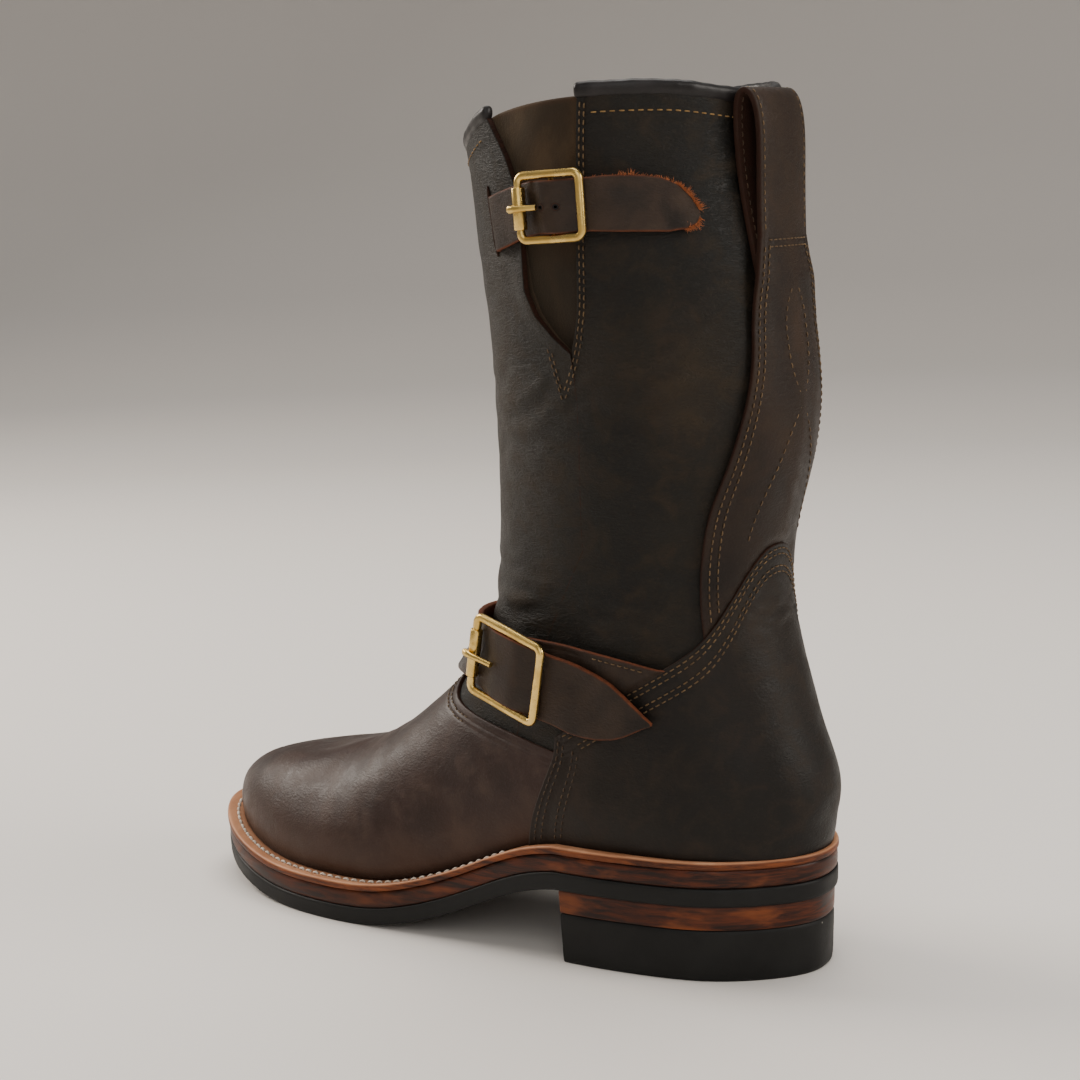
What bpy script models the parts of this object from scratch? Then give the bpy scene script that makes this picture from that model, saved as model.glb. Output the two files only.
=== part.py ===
"""Left engineer boot with two buckled straps, a V gusset, a stacked heel and a pull loop.

Sizes are in millimetres and become metres when a mesh is made.
Last axes while modelling: x towards the outer (lateral) side, the toe towards -y, z up from
the floor, y = 0 at the back of the sole. A turn is an angle round the shaft in degrees:
0 at the back seam, 90 on the lateral side, 180 at the front, 270 on the medial side.
"""
import math

import bmesh
import bpy
import numpy as np
from mathutils import Matrix, Vector

MM = 0.001
GAP = 0.3

# Mesh fineness
UPPER_COLUMNS = 48
FOOT_ROWS = 11
LOW_SHAFT_ROWS = 7
VEE_ROWS = 7
SOLE_STATIONS = 33
LOOP_STATIONS = 2 * (SOLE_STATIONS - 1)

# Sole: outsole, midsole and welt follow one bottom profile, and the heel stack fills the seat
SOLE_LENGTH = 294.0
HEEL_HEIGHT = 28.4
TOP_PIECE_HEIGHT = 19.4
OUTSOLE = 6.8
MIDSOLE = 7.0
WELT = 2.7
TOE_SPRING = 12.9
SEAT_END = 0.305
BREAST_Y = -87.8
HEEL_TAPER = 1.4
EDGE_INSET = {"outsole": 0.4, "midsole": 0.8, "lift": 1.8}
INSOLE_STAND = 2.3
INSOLE_CLEARANCE = 1.5
END_HALF = 0.35

OUTLINE_COLUMNS = ("share", "lateral", "medial", "ledge")
OUTLINE = (
    (0.00, 0.0, 0.0, 5.2),
    (0.04, 22.5, 25.0, 5.2),
    (0.10, 35.3, 33.5, 5.4),
    (0.18, 42.2, 36.5, 5.8),
    (0.28, 45.8, 34.8, 6.4),
    (0.40, 46.2, 31.5, 6.8),
    (0.50, 47.5, 35.0, 6.8),
    (0.60, 50.8, 43.0, 6.8),
    (0.68, 52.0, 49.0, 7.0),
    (0.76, 50.0, 52.0, 7.2),
    (0.86, 42.0, 49.0, 7.4),
    (0.94, 28.8, 37.0, 7.4),
    (1.00, 0.0, 0.0, 7.4),
)
PROFILE_COLUMNS = ("share", "rise")
PROFILE = (
    (0.00, HEEL_HEIGHT),
    (0.15, HEEL_HEIGHT),
    (0.24, HEEL_HEIGHT),
    (0.30, HEEL_HEIGHT),
    (0.37, 23.8),
    (0.45, 14.0),
    (0.53, 5.4),
    (0.60, 1.0),
    (0.66, 0.0),
    (0.72, 0.0),
    (0.78, 0.5),
    (0.86, 3.2),
    (0.94, 8.0),
    (1.00, TOE_SPRING),
)

# Upper: a standing shaft and a lying foot, blended into one last
WALL = 2.2
FEATHER_GAP = 1.0
RING_HEIGHT = 155.0
LOW_BLEND = 5.0
INSTEP_BLEND = 34.0
INSTEP_RISE = (65.0, 105.0)
INSTEP_REACH = (55.0, 110.0)
BALL_CENTRE = -206.0
HEEL_CENTRE = -52.0
SIDE_BULGE = 3.0
BULGE_HEIGHT = 20.0
TOE_FULLNESS = 6.0
SHAFT_ROUNDNESS = 2.1

SHAFT_COLUMNS = ("z", "back", "front", "lateral", "medial")
SHAFT = (
    (30.0, -9.0, -112.0, 31.0, 30.0),
    (50.0, -3.8, -114.0, 35.0, 33.5),
    (64.0, 0.0, -116.0, 36.5, 35.0),
    (85.0, -5.2, -119.0, 36.5, 35.0),
    (110.0, -13.0, -122.0, 37.0, 36.0),
    (135.0, -18.6, -126.5, 39.5, 39.0),
    (158.0, -17.6, -129.2, 42.5, 42.0),
    (182.0, -11.2, -130.0, 46.0, 45.0),
    (208.0, -7.8, -129.2, 49.0, 48.0),
    (235.0, -9.6, -129.0, 51.5, 50.5),
    (262.0, -14.6, -131.0, 53.0, 52.0),
    (290.0, -19.3, -133.2, 54.0, 53.0),
    (330.0, -21.0, -139.5, 55.0, 54.0),
)
FOOT_COLUMNS = ("y", "top", "crown")
FOOT = (
    (-300.0, 51.5, 2.0),
    (-285.0, 52.5, 2.0),
    (-270.0, 53.2, 2.0),
    (-250.0, 54.5, 2.0),
    (-225.0, 58.5, 2.05),
    (-200.0, 67.5, 2.1),
    (-178.0, 80.5, 2.1),
    (-155.0, 99.0, 2.0),
    (-130.0, 118.0, 2.0),
    (-95.0, 122.0, 2.0),
    (-60.0, 105.0, 2.0),
    (-30.0, 85.0, 2.0),
    (0.0, 70.0, 2.0),
)
COLLAR_COLUMNS = ("turn", "height")
COLLAR = (
    (0.0, 313.4),
    (20.0, 314.7),
    (32.0, 316.3),
    (46.0, 317.3),
    (60.0, 317.5),
    (75.0, 317.2),
    (100.0, 314.5),
    (118.0, 310.0),
    (132.0, 305.0),
    (150.0, 302.0),
    (180.0, 301.0),
)
BINDING_HEIGHT = 4.2
BINDING_OUT = 0.9
BINDING_IN = 3.3

# V opening on the lateral side: level 1 is the ankle ring, level 2 the top of the wall
VEE_COLUMNS = ("level", "rear", "front")
VEE = (
    (1.45, 88.0, 88.0),
    (1.49, 85.5, 94.0),
    (1.54, 83.0, 99.5),
    (1.60, 81.0, 102.3),
    (1.68, 78.6, 101.8),
    (1.83, 74.0, 100.8),
    (1.90, 72.4, 103.8),
    (2.00, 70.0, 111.0),
)
VEE_FOOT = 88.0
GUSSET_THICKNESS = 1.4
GUSSET_TUCK = 5.0
GUSSET_START = 1.43

# Overlays on the upper
COUNTER_THICKNESS = 1.6
COUNTER_LIFT = 0.55
COUNTER_FRONT_FOOT = 124.7
COUNTER_FRONT_TOP = 114.4
COUNTER_TOP_COLUMNS = ("turn", "height")
COUNTER_TOP = (
    (0.0, 155.5),
    (8.0, 154.2),
    (16.0, 149.5),
    (27.0, 139.3),
    (44.0, 124.4),
    (60.0, 115.4),
    (76.0, 107.6),
    (95.0, 97.5),
    (114.4, 85.2),
)
STAY_THICKNESS = 2.0
STAY_GAP = 1.3
STAY_COLUMNS = ("z", "half", "lift")
STAY = (
    (115.0, 27.0, 0.45),
    (140.0, 27.4, 0.45),
    (156.0, 27.8, 0.45),
    (171.0, 28.2, 0.6),
    (184.0, 27.0, 0.9),
    (207.0, 23.3, 0.9),
    (220.0, 21.1, 0.6),
    (232.0, 19.8, 0.6),
    (240.0, 18.8, 1.5),
    (248.0, 17.6, 3.0),
    (255.0, 16.4, 3.4),
    (262.0, 15.2, 4.1),
)
STAY_TOP = 262.0
LOOP_HALF_WIDTH = 14.8
LOOP_THICKNESS = 2.0
LOOP_COLUMNS = ("out", "height")
LOOP = (
    (5.1, 262.5),
    (7.5, 275.0),
    (9.8, 288.0),
    (10.9, 298.0),
    (10.6, 305.5),
    (9.0, 310.4),
    (6.4, 312.4),
    (3.9, 310.8),
    (2.6, 305.5),
    (2.0, 295.0),
    (1.5, 280.0),
    (1.4, 262.0),
    (1.4, 246.0),
)

# Straps, measured from their buckle's middle: places along in buckle lengths, height of the
# middle line, half width as a share of the width that fits the buckle, and lift off the upper
STRAP_COLUMNS = ("at", "height", "half", "lift", "tilt")
TOP_STRAP_THICKNESS = 2.0
TOP_STRAP = (
    (-1.773, -5.0, 0.133, 0.7, 0.0),
    (-1.699, -3.9, 0.511, 0.8, 0.0),
    (-1.57, -2.5, 0.822, 1.1, 0.0),
    (-1.349, -1.3, 1.022, 1.7, 0.0),
    (-1.054, -0.5, 1.056, 2.5, 0.0),
    (-0.759, -0.1, 1.056, 2.6, 0.0),
    (-0.457, -0.0, 1.0, 2.8, 0.0),
    (-0.332, -0.0, 1.0, 2.8, 0.0),
    (-0.066, -0.2, 1.0, 5.5, 0.0),
    (0.081, -0.1, 1.0, 5.5, 0.0),
    (0.339, -0.5, 1.0, 2.1, 0.0),
    (0.494, -1.2, 1.0, 1.6, 0.0),
    (0.825, -3.3, 1.044, 0.8, 0.0),
    (1.194, -5.7, 1.056, 0.6, 0.0),
)
TOP_CHAPE_THICKNESS = 1.6
TOP_CHAPE = (
    (-0.98, -0.5, 0.978, 0.4, 0.0),
    (-0.612, -0.1, 0.978, 0.4, 0.0),
    (-0.133, -0.1, 0.978, 0.4, 0.0),
)
INSTEP_STRAP_THICKNESS = 2.2
INSTEP_STRAP_LEAN = 3.0
INSTEP_STRAP = (
    (-1.674, -14.2, 0.04, 4.4, 0.0),
    (-1.585, -13.5, 0.184, 4.4, 0.0),
    (-1.49, -12.8, 0.368, 4.4, 0.0),
    (-1.363, -11.9, 0.6, 4.5, 0.0),
    (-1.205, -10.6, 0.84, 4.6, 0.0),
    (-1.014, -9.4, 1.0, 4.7, 0.1),
    (-0.824, -8.0, 1.076, 4.8, 0.4),
    (-0.666, -6.7, 1.08, 5.0, 0.8),
    (-0.507, -4.9, 1.024, 5.3, 1.3),
    (-0.301, -2.8, 1.0, 5.3, 1.4),
    (-0.111, -0.2, 1.0, 7.6, 1.2),
    (0.111, 2.0, 1.0, 7.7, 1.2),
    (0.317, 3.8, 1.0, 6.6, 1.4),
    (0.507, 4.6, 1.0, 6.5, 1.4),
    (0.729, 4.8, 1.024, 5.0, 0.8),
    (1.046, 4.0, 1.056, 3.0, 0.2),
    (1.363, 3.1, 1.056, 2.4, 0.0),
    (1.744, 2.2, 1.056, 2.3, 0.0),
    (2.282, 1.6, 1.056, 2.3, 0.0),
    (2.821, 0.6, 1.056, 1.7, 0.0),
    (3.392, -1.4, 1.056, 1.5, 0.0),
    (3.836, -3.8, 1.056, 2.6, 0.0),
    (4.343, -6.9, 1.056, 2.6, 0.0),
    (4.85, -10.0, 1.056, 2.6, 0.0),
)
INSTEP_CHAPE_THICKNESS = 1.5
INSTEP_CHAPE = (
    (-1.775, -5.8, 0.912, 2.5, 0.0),
    (-1.427, -3.5, 0.928, 2.5, 0.0),
    (-0.951, -1.2, 0.944, 2.5, 0.0),
    (-0.539, 0.2, 0.944, 2.5, 0.0),
    (-0.095, 1.0, 0.944, 2.5, 0.0),
)

# Buckles: turn of the middle, its drop below the collar or the ankle ring, directions along
# and across as rearwards, upwards and outwards shares, outer size, and room for strap and bar
BUCKLE_WIRE = 1.35
BUCKLE_CORNER = 3.2
BAR_WIRE = 1.0
BAR_DROP = 1.8
BAR_END = 1.1
ROLLER_RADIUS = 2.2
PRONG_RADIUS = 1.1
BUCKLES = {
    "top": {
        "turn": 82.6,
        "drop": 40.2,
        "along": (1.0, 0.03, -0.008),
        "across": (-0.03, 1.0, -0.011),
        "length": 27.2,
        "height": 24.8,
        "room": 0.7,
        "bar_room": 0.58,
        "roller": 14.5,
        "prong": 11.0,
    },
    "instep": {
        "turn": 125.0,
        "drop": 46.6,
        "along": (0.967, -0.246, -0.066),
        "across": (0.253, 0.959, 0.131),
        "length": 38.0,
        "height": 33.0,
        "room": 1.3,
        "bar_room": 0.4,
        "roller": 19.0,
        "prong": 15.0,
    },
}

COLOURS = {
    "shaft_leather": ((0.030, 0.024, 0.019), 0.45, 0.0),
    "counter_leather": ((0.032, 0.024, 0.019), 0.42, 0.0),
    "strap_leather": ((0.045, 0.028, 0.021), 0.48, 0.0),
    "gusset_leather": ((0.070, 0.046, 0.028), 0.75, 0.0),
    "binding_leather": ((0.028, 0.024, 0.026), 0.40, 0.0),
    "insole_leather": ((0.420, 0.270, 0.160), 0.70, 0.0),
    "welt_leather": ((0.620, 0.380, 0.230), 0.55, 0.0),
    "midsole_leather": ((0.190, 0.062, 0.026), 0.35, 0.0),
    "heel_leather": ((0.180, 0.056, 0.024), 0.35, 0.0),
    "sole_rubber": ((0.012, 0.012, 0.013), 0.50, 0.0),
    "brass": ((0.780, 0.610, 0.310), 0.28, 1.0),
}


# Smooth curves through short tables

def spline(places, values):
    """Natural cubic curve through the given values"""
    places = np.asarray(places, float)
    values = np.asarray(values, float)
    count = len(places)
    step = np.diff(places)
    matrix = np.eye(count)
    right = np.zeros(count)
    for i in range(1, count - 1):
        matrix[i, i - 1] = step[i - 1]
        matrix[i, i] = 2 * (step[i - 1] + step[i])
        matrix[i, i + 1] = step[i]
        rise_after = (values[i + 1] - values[i]) / step[i]
        rise_before = (values[i] - values[i - 1]) / step[i - 1]
        right[i] = 6 * (rise_after - rise_before)
    bend = np.linalg.solve(matrix, right)

    def at(place):
        place = np.clip(place, places[0], places[-1])
        i = np.clip(np.searchsorted(places, place) - 1, 0, count - 2)
        span = step[i]
        a = (places[i + 1] - place) / span
        b = (place - places[i]) / span
        curved = ((a ** 3 - a) * bend[i] + (b ** 3 - b) * bend[i + 1]) * span * span / 6
        return a * values[i] + b * values[i + 1] + curved
    return at


def column(columns, rows, name):
    return [row[columns.index(name)] for row in rows]


def curve(columns, rows, name):
    """A named column as a smooth curve over the table's first column"""
    return spline(column(columns, rows, columns[0]), column(columns, rows, name))


def steady(columns, rows, name):
    """A named column as straight runs over the table's first column"""
    places = column(columns, rows, columns[0])
    values = column(columns, rows, name)
    return lambda place: np.interp(place, places, values)


def soft_step(low, high, value):
    t = np.clip((value - low) / (high - low), 0, 1)
    return t * t * (3 - 2 * t)


# Sole outline and bottom profile

def outline_curve(name):
    """An outline column over the half turn, so that toe and heel come out round"""
    half_turns = [math.acos(1 - 2 * row[0]) for row in OUTLINE]
    return spline(half_turns, column(OUTLINE_COLUMNS, OUTLINE, name))


EDGE = {name: outline_curve(name) for name in OUTLINE_COLUMNS[1:]}
profile_rise = curve(PROFILE_COLUMNS, PROFILE, "rise")
STATION_SHARES = (1 - np.cos(np.linspace(0, math.pi, SOLE_STATIONS))) / 2
STATION_RISES = np.where(STATION_SHARES < SEAT_END, HEEL_HEIGHT,
                         np.maximum(profile_rise(STATION_SHARES), 0.0))


def bottom(y):
    """Height of the outsole's underside above the floor, straight between stations"""
    share = -np.asarray(y, float) / SOLE_LENGTH
    return np.interp(share, STATION_SHARES, STATION_RISES)


def half_of(phase):
    phase = np.mod(phase, 2 * math.pi)
    return phase <= math.pi, np.where(phase <= math.pi, phase, 2 * math.pi - phase)


def raw_edge(phase):
    is_lateral, half = half_of(phase)
    x = np.where(is_lateral, EDGE["lateral"](half), -EDGE["medial"](half))
    return x, -SOLE_LENGTH * (1 - np.cos(half)) / 2


def ledge(phase):
    """How far the upper stands in from the sole's edge"""
    return EDGE["ledge"](half_of(phase)[1])


def sole_edge(phase, inset=0.0):
    """The sole's outline moved inwards; phase 0 is the heel, pi the toe"""
    phase = np.asarray(phase, float)
    x, y = raw_edge(phase)
    ahead = raw_edge(phase + 0.001)
    behind = raw_edge(phase - 0.001)
    along_x = ahead[0] - behind[0]
    along_y = ahead[1] - behind[1]
    size = np.hypot(along_x, along_y)
    return x + along_y / size * inset, y - along_x / size * inset


def feather_height(y):
    """Height at which the upper's wall stands on the welt"""
    return bottom(y) + OUTSOLE + MIDSOLE + WELT + FEATHER_GAP


# The last: a field that is 0 on the upper's outer face and negative inside

FINE_PHASES = np.linspace(0, math.pi, 1500)
FEATHER_LATERAL = sole_edge(FINE_PHASES, ledge(FINE_PHASES))
FEATHER_MEDIAL = sole_edge(2 * math.pi - FINE_PHASES, ledge(FINE_PHASES))
foot_top = curve(FOOT_COLUMNS, FOOT, "top")
foot_crown = curve(FOOT_COLUMNS, FOOT, "crown")
SHAFT_AT = {name: curve(SHAFT_COLUMNS, SHAFT, name) for name in SHAFT_COLUMNS[1:]}


def polar_reach(angle, is_lateral, centre, sign):
    """Distance from a centre on the mid line out to the feather line"""
    reach = np.zeros_like(angle)
    for lateral, (edge_x, edge_y) in ((True, FEATHER_LATERAL), (False, FEATHER_MEDIAL)):
        ahead = sign * (edge_y - centre)
        keep = ahead >= 0
        angles = np.arctan2(np.abs(edge_x[keep]), ahead[keep])
        radii = np.hypot(edge_x[keep], ahead[keep])
        order = np.argsort(angles)
        found = np.interp(angle, angles[order], radii[order])
        reach = np.where(is_lateral == lateral, found, reach)
    return reach


def plan_share(x, y, swell):
    """0 on the mid line and 1 on the feather line, grown outwards by swell"""
    is_lateral = x >= 0
    side = np.abs(x)
    lateral = np.interp(-y, -FEATHER_LATERAL[1], FEATHER_LATERAL[0])
    medial = np.interp(-y, -FEATHER_MEDIAL[1], -FEATHER_MEDIAL[0])
    share = side / np.maximum(np.where(is_lateral, lateral, medial) + swell, 1e-6)
    for centre, sign in ((BALL_CENTRE, -1), (HEEL_CENTRE, 1)):
        past = sign * (y - centre)
        reach = polar_reach(np.arctan2(side, past), is_lateral, centre, sign)
        share = np.where(past > 0, np.hypot(side, past) / (reach + swell), share)
    return share


def foot_field(x, y, z):
    low = feather_height(y)
    climb = np.clip((z - low) / BULGE_HEIGHT, 0, 1)
    swell = SIDE_BULGE * (1 - (1 - climb) ** 2)
    across = plan_share(x, y, swell)
    upward = np.clip((z - low) / (foot_top(y) - low), 0, None)
    past = np.clip(BALL_CENTRE - y, 0, None)
    towards_toe = past ** 2 / (past ** 2 + x * x + 1e-6)
    crown = foot_crown(y)
    fullness = crown + (TOE_FULLNESS - crown) * towards_toe
    return 42.0 * ((across ** fullness + upward ** crown + 1e-12) ** (1 / 2.3) - 1)


def shaft_ring(z):
    """Middle, half length and half widths of the shaft at a height"""
    back = SHAFT_AT["back"](z)
    front = SHAFT_AT["front"](z)
    return (back + front) / 2, (back - front) / 2, SHAFT_AT["lateral"](z), SHAFT_AT["medial"](z)


def shaft_field(x, y, z):
    middle, half_length, lateral, medial = shaft_ring(z)
    across = np.abs(x) / np.where(x >= 0, lateral, medial)
    along = np.abs(y - middle) / half_length
    power = SHAFT_ROUNDNESS
    return 46.0 * ((across ** power + along ** power + 1e-12) ** (1 / power) - 1)


def last_field(x, y, z):
    """Foot and shaft joined with a wide blend at the instep and a small one at the heel"""
    foot = foot_field(x, y, z)
    shaft = shaft_field(x, y, z)
    instep = soft_step(*INSTEP_RISE, z) * soft_step(*INSTEP_REACH, -y)
    blend = LOW_BLEND + (INSTEP_BLEND - LOW_BLEND) * instep
    mix = np.clip(0.5 + 0.5 * (shaft - foot) / blend, 0, 1)
    return shaft + (foot - shaft) * mix - blend * mix * (1 - mix)


def last_slope(x, y, z, step=0.05):
    slope_x = last_field(x + step, y, z) - last_field(x - step, y, z)
    slope_y = last_field(x, y + step, z) - last_field(x, y - step, z)
    slope_z = last_field(x, y, z + step) - last_field(x, y, z - step)
    return slope_x / (2 * step), slope_y / (2 * step), slope_z / (2 * step)


def settle(x, y, z, level):
    """Move points onto the last; those marked level keep their height"""
    for _ in range(12):
        depth = last_field(x, y, z)
        slope_x, slope_y, slope_z = last_slope(x, y, z)
        slope_z = np.where(level, 0, slope_z)
        size = slope_x ** 2 + slope_y ** 2 + slope_z ** 2 + 1e-9
        step = np.clip(depth / size, -8, 8)
        x = x - slope_x * step
        y = y - slope_y * step
        z = z - slope_z * step
    return x, y, z


def lifted(points, lift):
    """Points on the last moved outwards along its normal"""
    x, y, z = points
    slope = np.stack(last_slope(x, y, z), -1)
    normal = slope / np.linalg.norm(slope, axis=-1, keepdims=True)
    return np.stack(points, -1) + normal * np.asarray(lift, float)[..., None]


def cast(origin, direction):
    """Where rays from inside the shaft first leave the last"""
    near = np.zeros_like(origin[0])
    far = near + 160.0
    for _ in range(34):
        middle = (near + far) / 2
        inside = last_field(*(o + d * middle for o, d in zip(origin, direction))) < 0
        near = np.where(inside, middle, near)
        far = np.where(inside, far, middle)
    return tuple(o + d * near for o, d in zip(origin, direction))


def wall_point(turn, z):
    """The upper's outer face at a turn and a height"""
    turn, z = np.broadcast_arrays(np.radians(np.asarray(turn, float)), np.asarray(z, float))
    middle, half_length, lateral, medial = shaft_ring(z)
    way_x = np.sin(turn) * np.where(np.sin(turn) >= 0, lateral, medial)
    way_y = np.cos(turn) * half_length
    size = np.hypot(way_x, way_y)
    return cast((0 * z, middle + 0 * z, z), (way_x / size, way_y / size, 0 * z))


def back_point(x, z):
    """The upper's outer face straight behind a point on the shaft's middle plane"""
    x, z = np.broadcast_arrays(np.asarray(x, float), np.asarray(z, float))
    middle = shaft_ring(z)[0]
    return cast((x, middle, z), (0 * x, 0 * x + 1, 0 * x))


def turn_of(x, y, z):
    middle, half_length, lateral, medial = shaft_ring(z)
    width = np.where(x >= 0, lateral, medial)
    return np.degrees(np.arctan2(x / width, (y - middle) / half_length))


collar_shape = spline([(1 - math.cos(math.radians(row[0]))) / 2 for row in COLLAR],
                      column(COLLAR_COLUMNS, COLLAR, "height"))


def collar_height(turn):
    return collar_shape((1 - np.cos(np.radians(turn))) / 2)


def wall_top(turn):
    return collar_height(turn) - BINDING_HEIGHT


def feather_phase(turn):
    """Sole outline phase below a turn, closer together round the toe"""
    turn = np.mod(np.asarray(turn, float), 360.0)
    share = ((1 - np.cos(np.radians(turn))) / 2) ** 1.15
    phase = np.arccos(np.clip(1 - 2 * share, -1, 1))
    return np.where(turn <= 180, phase, 2 * math.pi - phase)


def upper_face(turn, level):
    """Outer face of the upper: level 0 feather line, 1 ankle ring, 2 top of the wall"""
    turn, level = np.broadcast_arrays(np.asarray(turn, float), np.asarray(level, float))
    phase = feather_phase(turn)
    foot_x, foot_y = sole_edge(phase, ledge(phase))
    foot_z = feather_height(foot_y)
    high = level > 1
    ring_z = RING_HEIGHT + np.where(high, level - 1, 0) * (wall_top(turn) - RING_HEIGHT)
    middle, half_length, lateral, medial = shaft_ring(ring_z)
    angle = np.radians(turn)
    ring_x = np.sin(angle) * np.where(np.sin(angle) >= 0, lateral, medial)
    ring_y = middle + half_length * np.cos(angle)
    knee_x = foot_x + 0.25 * (ring_x - foot_x)
    knee_y = foot_y + 0.25 * (ring_y - foot_y)
    knee_z = foot_z + 0.5 * (ring_z - foot_z)
    way = np.clip(level, 0, 1)
    first, second, third = (1 - way) ** 2, 2 * way * (1 - way), way * way
    x = first * foot_x + second * knee_x + third * ring_x
    y = first * foot_y + second * knee_y + third * ring_y
    z = first * foot_z + second * knee_z + third * ring_z
    return settle(x, y, z, (level <= 0) | (level >= 1))


# Straps and buckles on the upper

def buckle_level(which):
    """Height of a buckle's middle"""
    buckle = BUCKLES[which]
    reference = collar_height(buckle["turn"]) if which == "top" else RING_HEIGHT
    return float(reference) - buckle["drop"]


def upper_axes(turn, z):
    """Rearward, upward and outward directions on the upper, and its length per degree"""
    ahead = np.array([float(v) for v in wall_point(turn + 0.5, z)])
    behind = np.array([float(v) for v in wall_point(turn - 0.5, z)])
    point = wall_point(turn, z)
    out = np.array([float(v) for v in last_slope(*point)])
    out = out / np.linalg.norm(out)
    reach = float(np.linalg.norm(behind - ahead))
    back = behind - ahead - out * out.dot(behind - ahead)
    back = back / np.linalg.norm(back)
    return np.array([back, np.cross(out, back), out]), reach


def strap_half_width(which):
    """Half width of the strap that a buckle's frame takes in"""
    buckle = BUCKLES[which]
    return buckle["height"] / 2 - 2 * BUCKLE_WIRE - buckle["room"]


def strap_line(rows, which, steps):
    """Turn, height, half width, lift and tilt along a strap"""
    buckle = BUCKLES[which]
    level = buckle_level(which)
    degrees = buckle["length"] / upper_axes(buckle["turn"], level)[1]
    turns = buckle["turn"] + degrees * np.array(column(STRAP_COLUMNS, rows, "at"))
    turn = np.interp(np.linspace(0, len(rows) - 1, steps), range(len(rows)), turns)
    height = level + spline(turns, column(STRAP_COLUMNS, rows, "height"))(turn)
    half, lift, tilt = (np.interp(turn, turns, column(STRAP_COLUMNS, rows, name))
                        for name in ("half", "lift", "tilt"))
    return turn, height, half * strap_half_width(which), lift, tilt


def buckle_place(which, rows):
    """A buckle's own axes (along, across, out) and its middle, over its strap's middle line"""
    buckle = BUCKLES[which]
    level = buckle_level(which)
    axes, _ = upper_axes(buckle["turn"], level)
    along = np.array(buckle["along"]) @ axes
    along = along / np.linalg.norm(along)
    across = np.array(buckle["across"]) @ axes
    across = across - along * along.dot(across)
    across = across / np.linalg.norm(across)
    places, lifts = (column(STRAP_COLUMNS, rows, name) for name in ("at", "lift"))
    stand = np.interp(0.0, places, lifts) + BAR_DROP - BAR_WIRE - buckle["bar_room"]
    middle = lifted(wall_point(buckle["turn"], level), np.array(stand))
    return np.array([along, across, np.cross(along, across)]), middle


# Meshes

def material(name):
    colour, roughness, metallic = COLOURS[name]
    made = bpy.data.materials.get(name) or bpy.data.materials.new(name)
    made.use_nodes = True
    shader = made.node_tree.nodes["Principled BSDF"]
    shader.inputs["Base Color"].default_value = (*colour, 1.0)
    shader.inputs["Roughness"].default_value = roughness
    shader.inputs["Metallic"].default_value = metallic
    made.diffuse_color = (*colour, 1.0)
    return made


def make_object(name, vertices, faces, material_name, smooth=40.0):
    mesh = bpy.data.meshes.new(name)
    mesh.from_pydata([tuple(float(c) * MM for c in v) for v in vertices], [], faces)
    work = bmesh.new()
    work.from_mesh(mesh)
    bmesh.ops.remove_doubles(work, verts=work.verts, dist=1e-6)
    bmesh.ops.recalc_face_normals(work, faces=work.faces)
    work.to_mesh(mesh)
    work.free()
    mesh.shade_smooth()
    mesh.set_sharp_from_angle(angle=math.radians(smooth))
    made = bpy.data.objects.new(name, mesh)
    made.data.materials.append(material(material_name))
    bpy.context.scene.collection.objects.link(made)
    return made


def grid_faces(rows, columns, start, wrap=False):
    """Quads of a grid whose points are numbered row by row"""
    faces = []
    for i in range(rows if wrap else rows - 1):
        k = (i + 1) % rows
        for j in range(columns - 1):
            a = start + i * columns + j
            b = start + k * columns + j
            faces.append((a, b, b + 1, a + 1))
    return faces


def shell(name, outer, inner, material_name):
    """Closed solid between two open grids of points"""
    rows, columns = outer.shape[:2]
    count = rows * columns
    faces = grid_faces(rows, columns, 0) + grid_faces(rows, columns, count)
    rim = [(i, 0) for i in range(rows)]
    rim += [(rows - 1, j) for j in range(1, columns)]
    rim += [(i, columns - 1) for i in range(rows - 2, -1, -1)]
    rim += [(0, j) for j in range(columns - 2, 0, -1)]
    ring = [i * columns + j for i, j in rim]
    for a, b in zip(ring, ring[1:] + ring[:1]):
        faces.append((a, b, b + count, a + count))
    points = np.concatenate([outer.reshape(-1, 3), inner.reshape(-1, 3)])
    return make_object(name, points, faces, material_name)


def sweep(name, sections, material_name, wrap=False):
    """Closed solid through equal rings of points, with flat ends unless it wraps round"""
    rows, columns = sections.shape[:2]
    faces = []
    for i in range(rows if wrap else rows - 1):
        k = (i + 1) % rows
        for j in range(columns):
            n = (j + 1) % columns
            faces.append((i * columns + j, k * columns + j, k * columns + n, i * columns + n))
    if not wrap:
        faces.append(tuple(range(columns)))
        faces.append(tuple(range((rows - 1) * columns, rows * columns)))
    return make_object(name, sections.reshape(-1, 3), faces, material_name)


# Sole and heel

def sole_layer(name, low, high, low_inset, high_inset, material_name, end_y=None):
    """A layer whose faces run straight across from the lateral to the medial edge"""
    last_phase = math.pi
    if end_y is not None:
        last_phase = math.acos(1 + 2 * end_y / SOLE_LENGTH)
    phases = np.linspace(0, last_phase, SOLE_STATIONS)
    sections = []
    for phase in phases:
        ring = []
        for sign, inset, height in ((1, high_inset, high), (-1, high_inset, high),
                                    (-1, low_inset, low), (1, low_inset, low)):
            x, y = sole_edge(sign * phase, inset(sign * phase))
            if end_y is not None:
                y = max(float(y), end_y)
            if phase in (0.0, math.pi):
                x = END_HALF * sign
            ring.append((float(x), float(y), float(height(y))))
        sections.append(ring)
    return sweep(name, np.array(sections), material_name)


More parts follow.
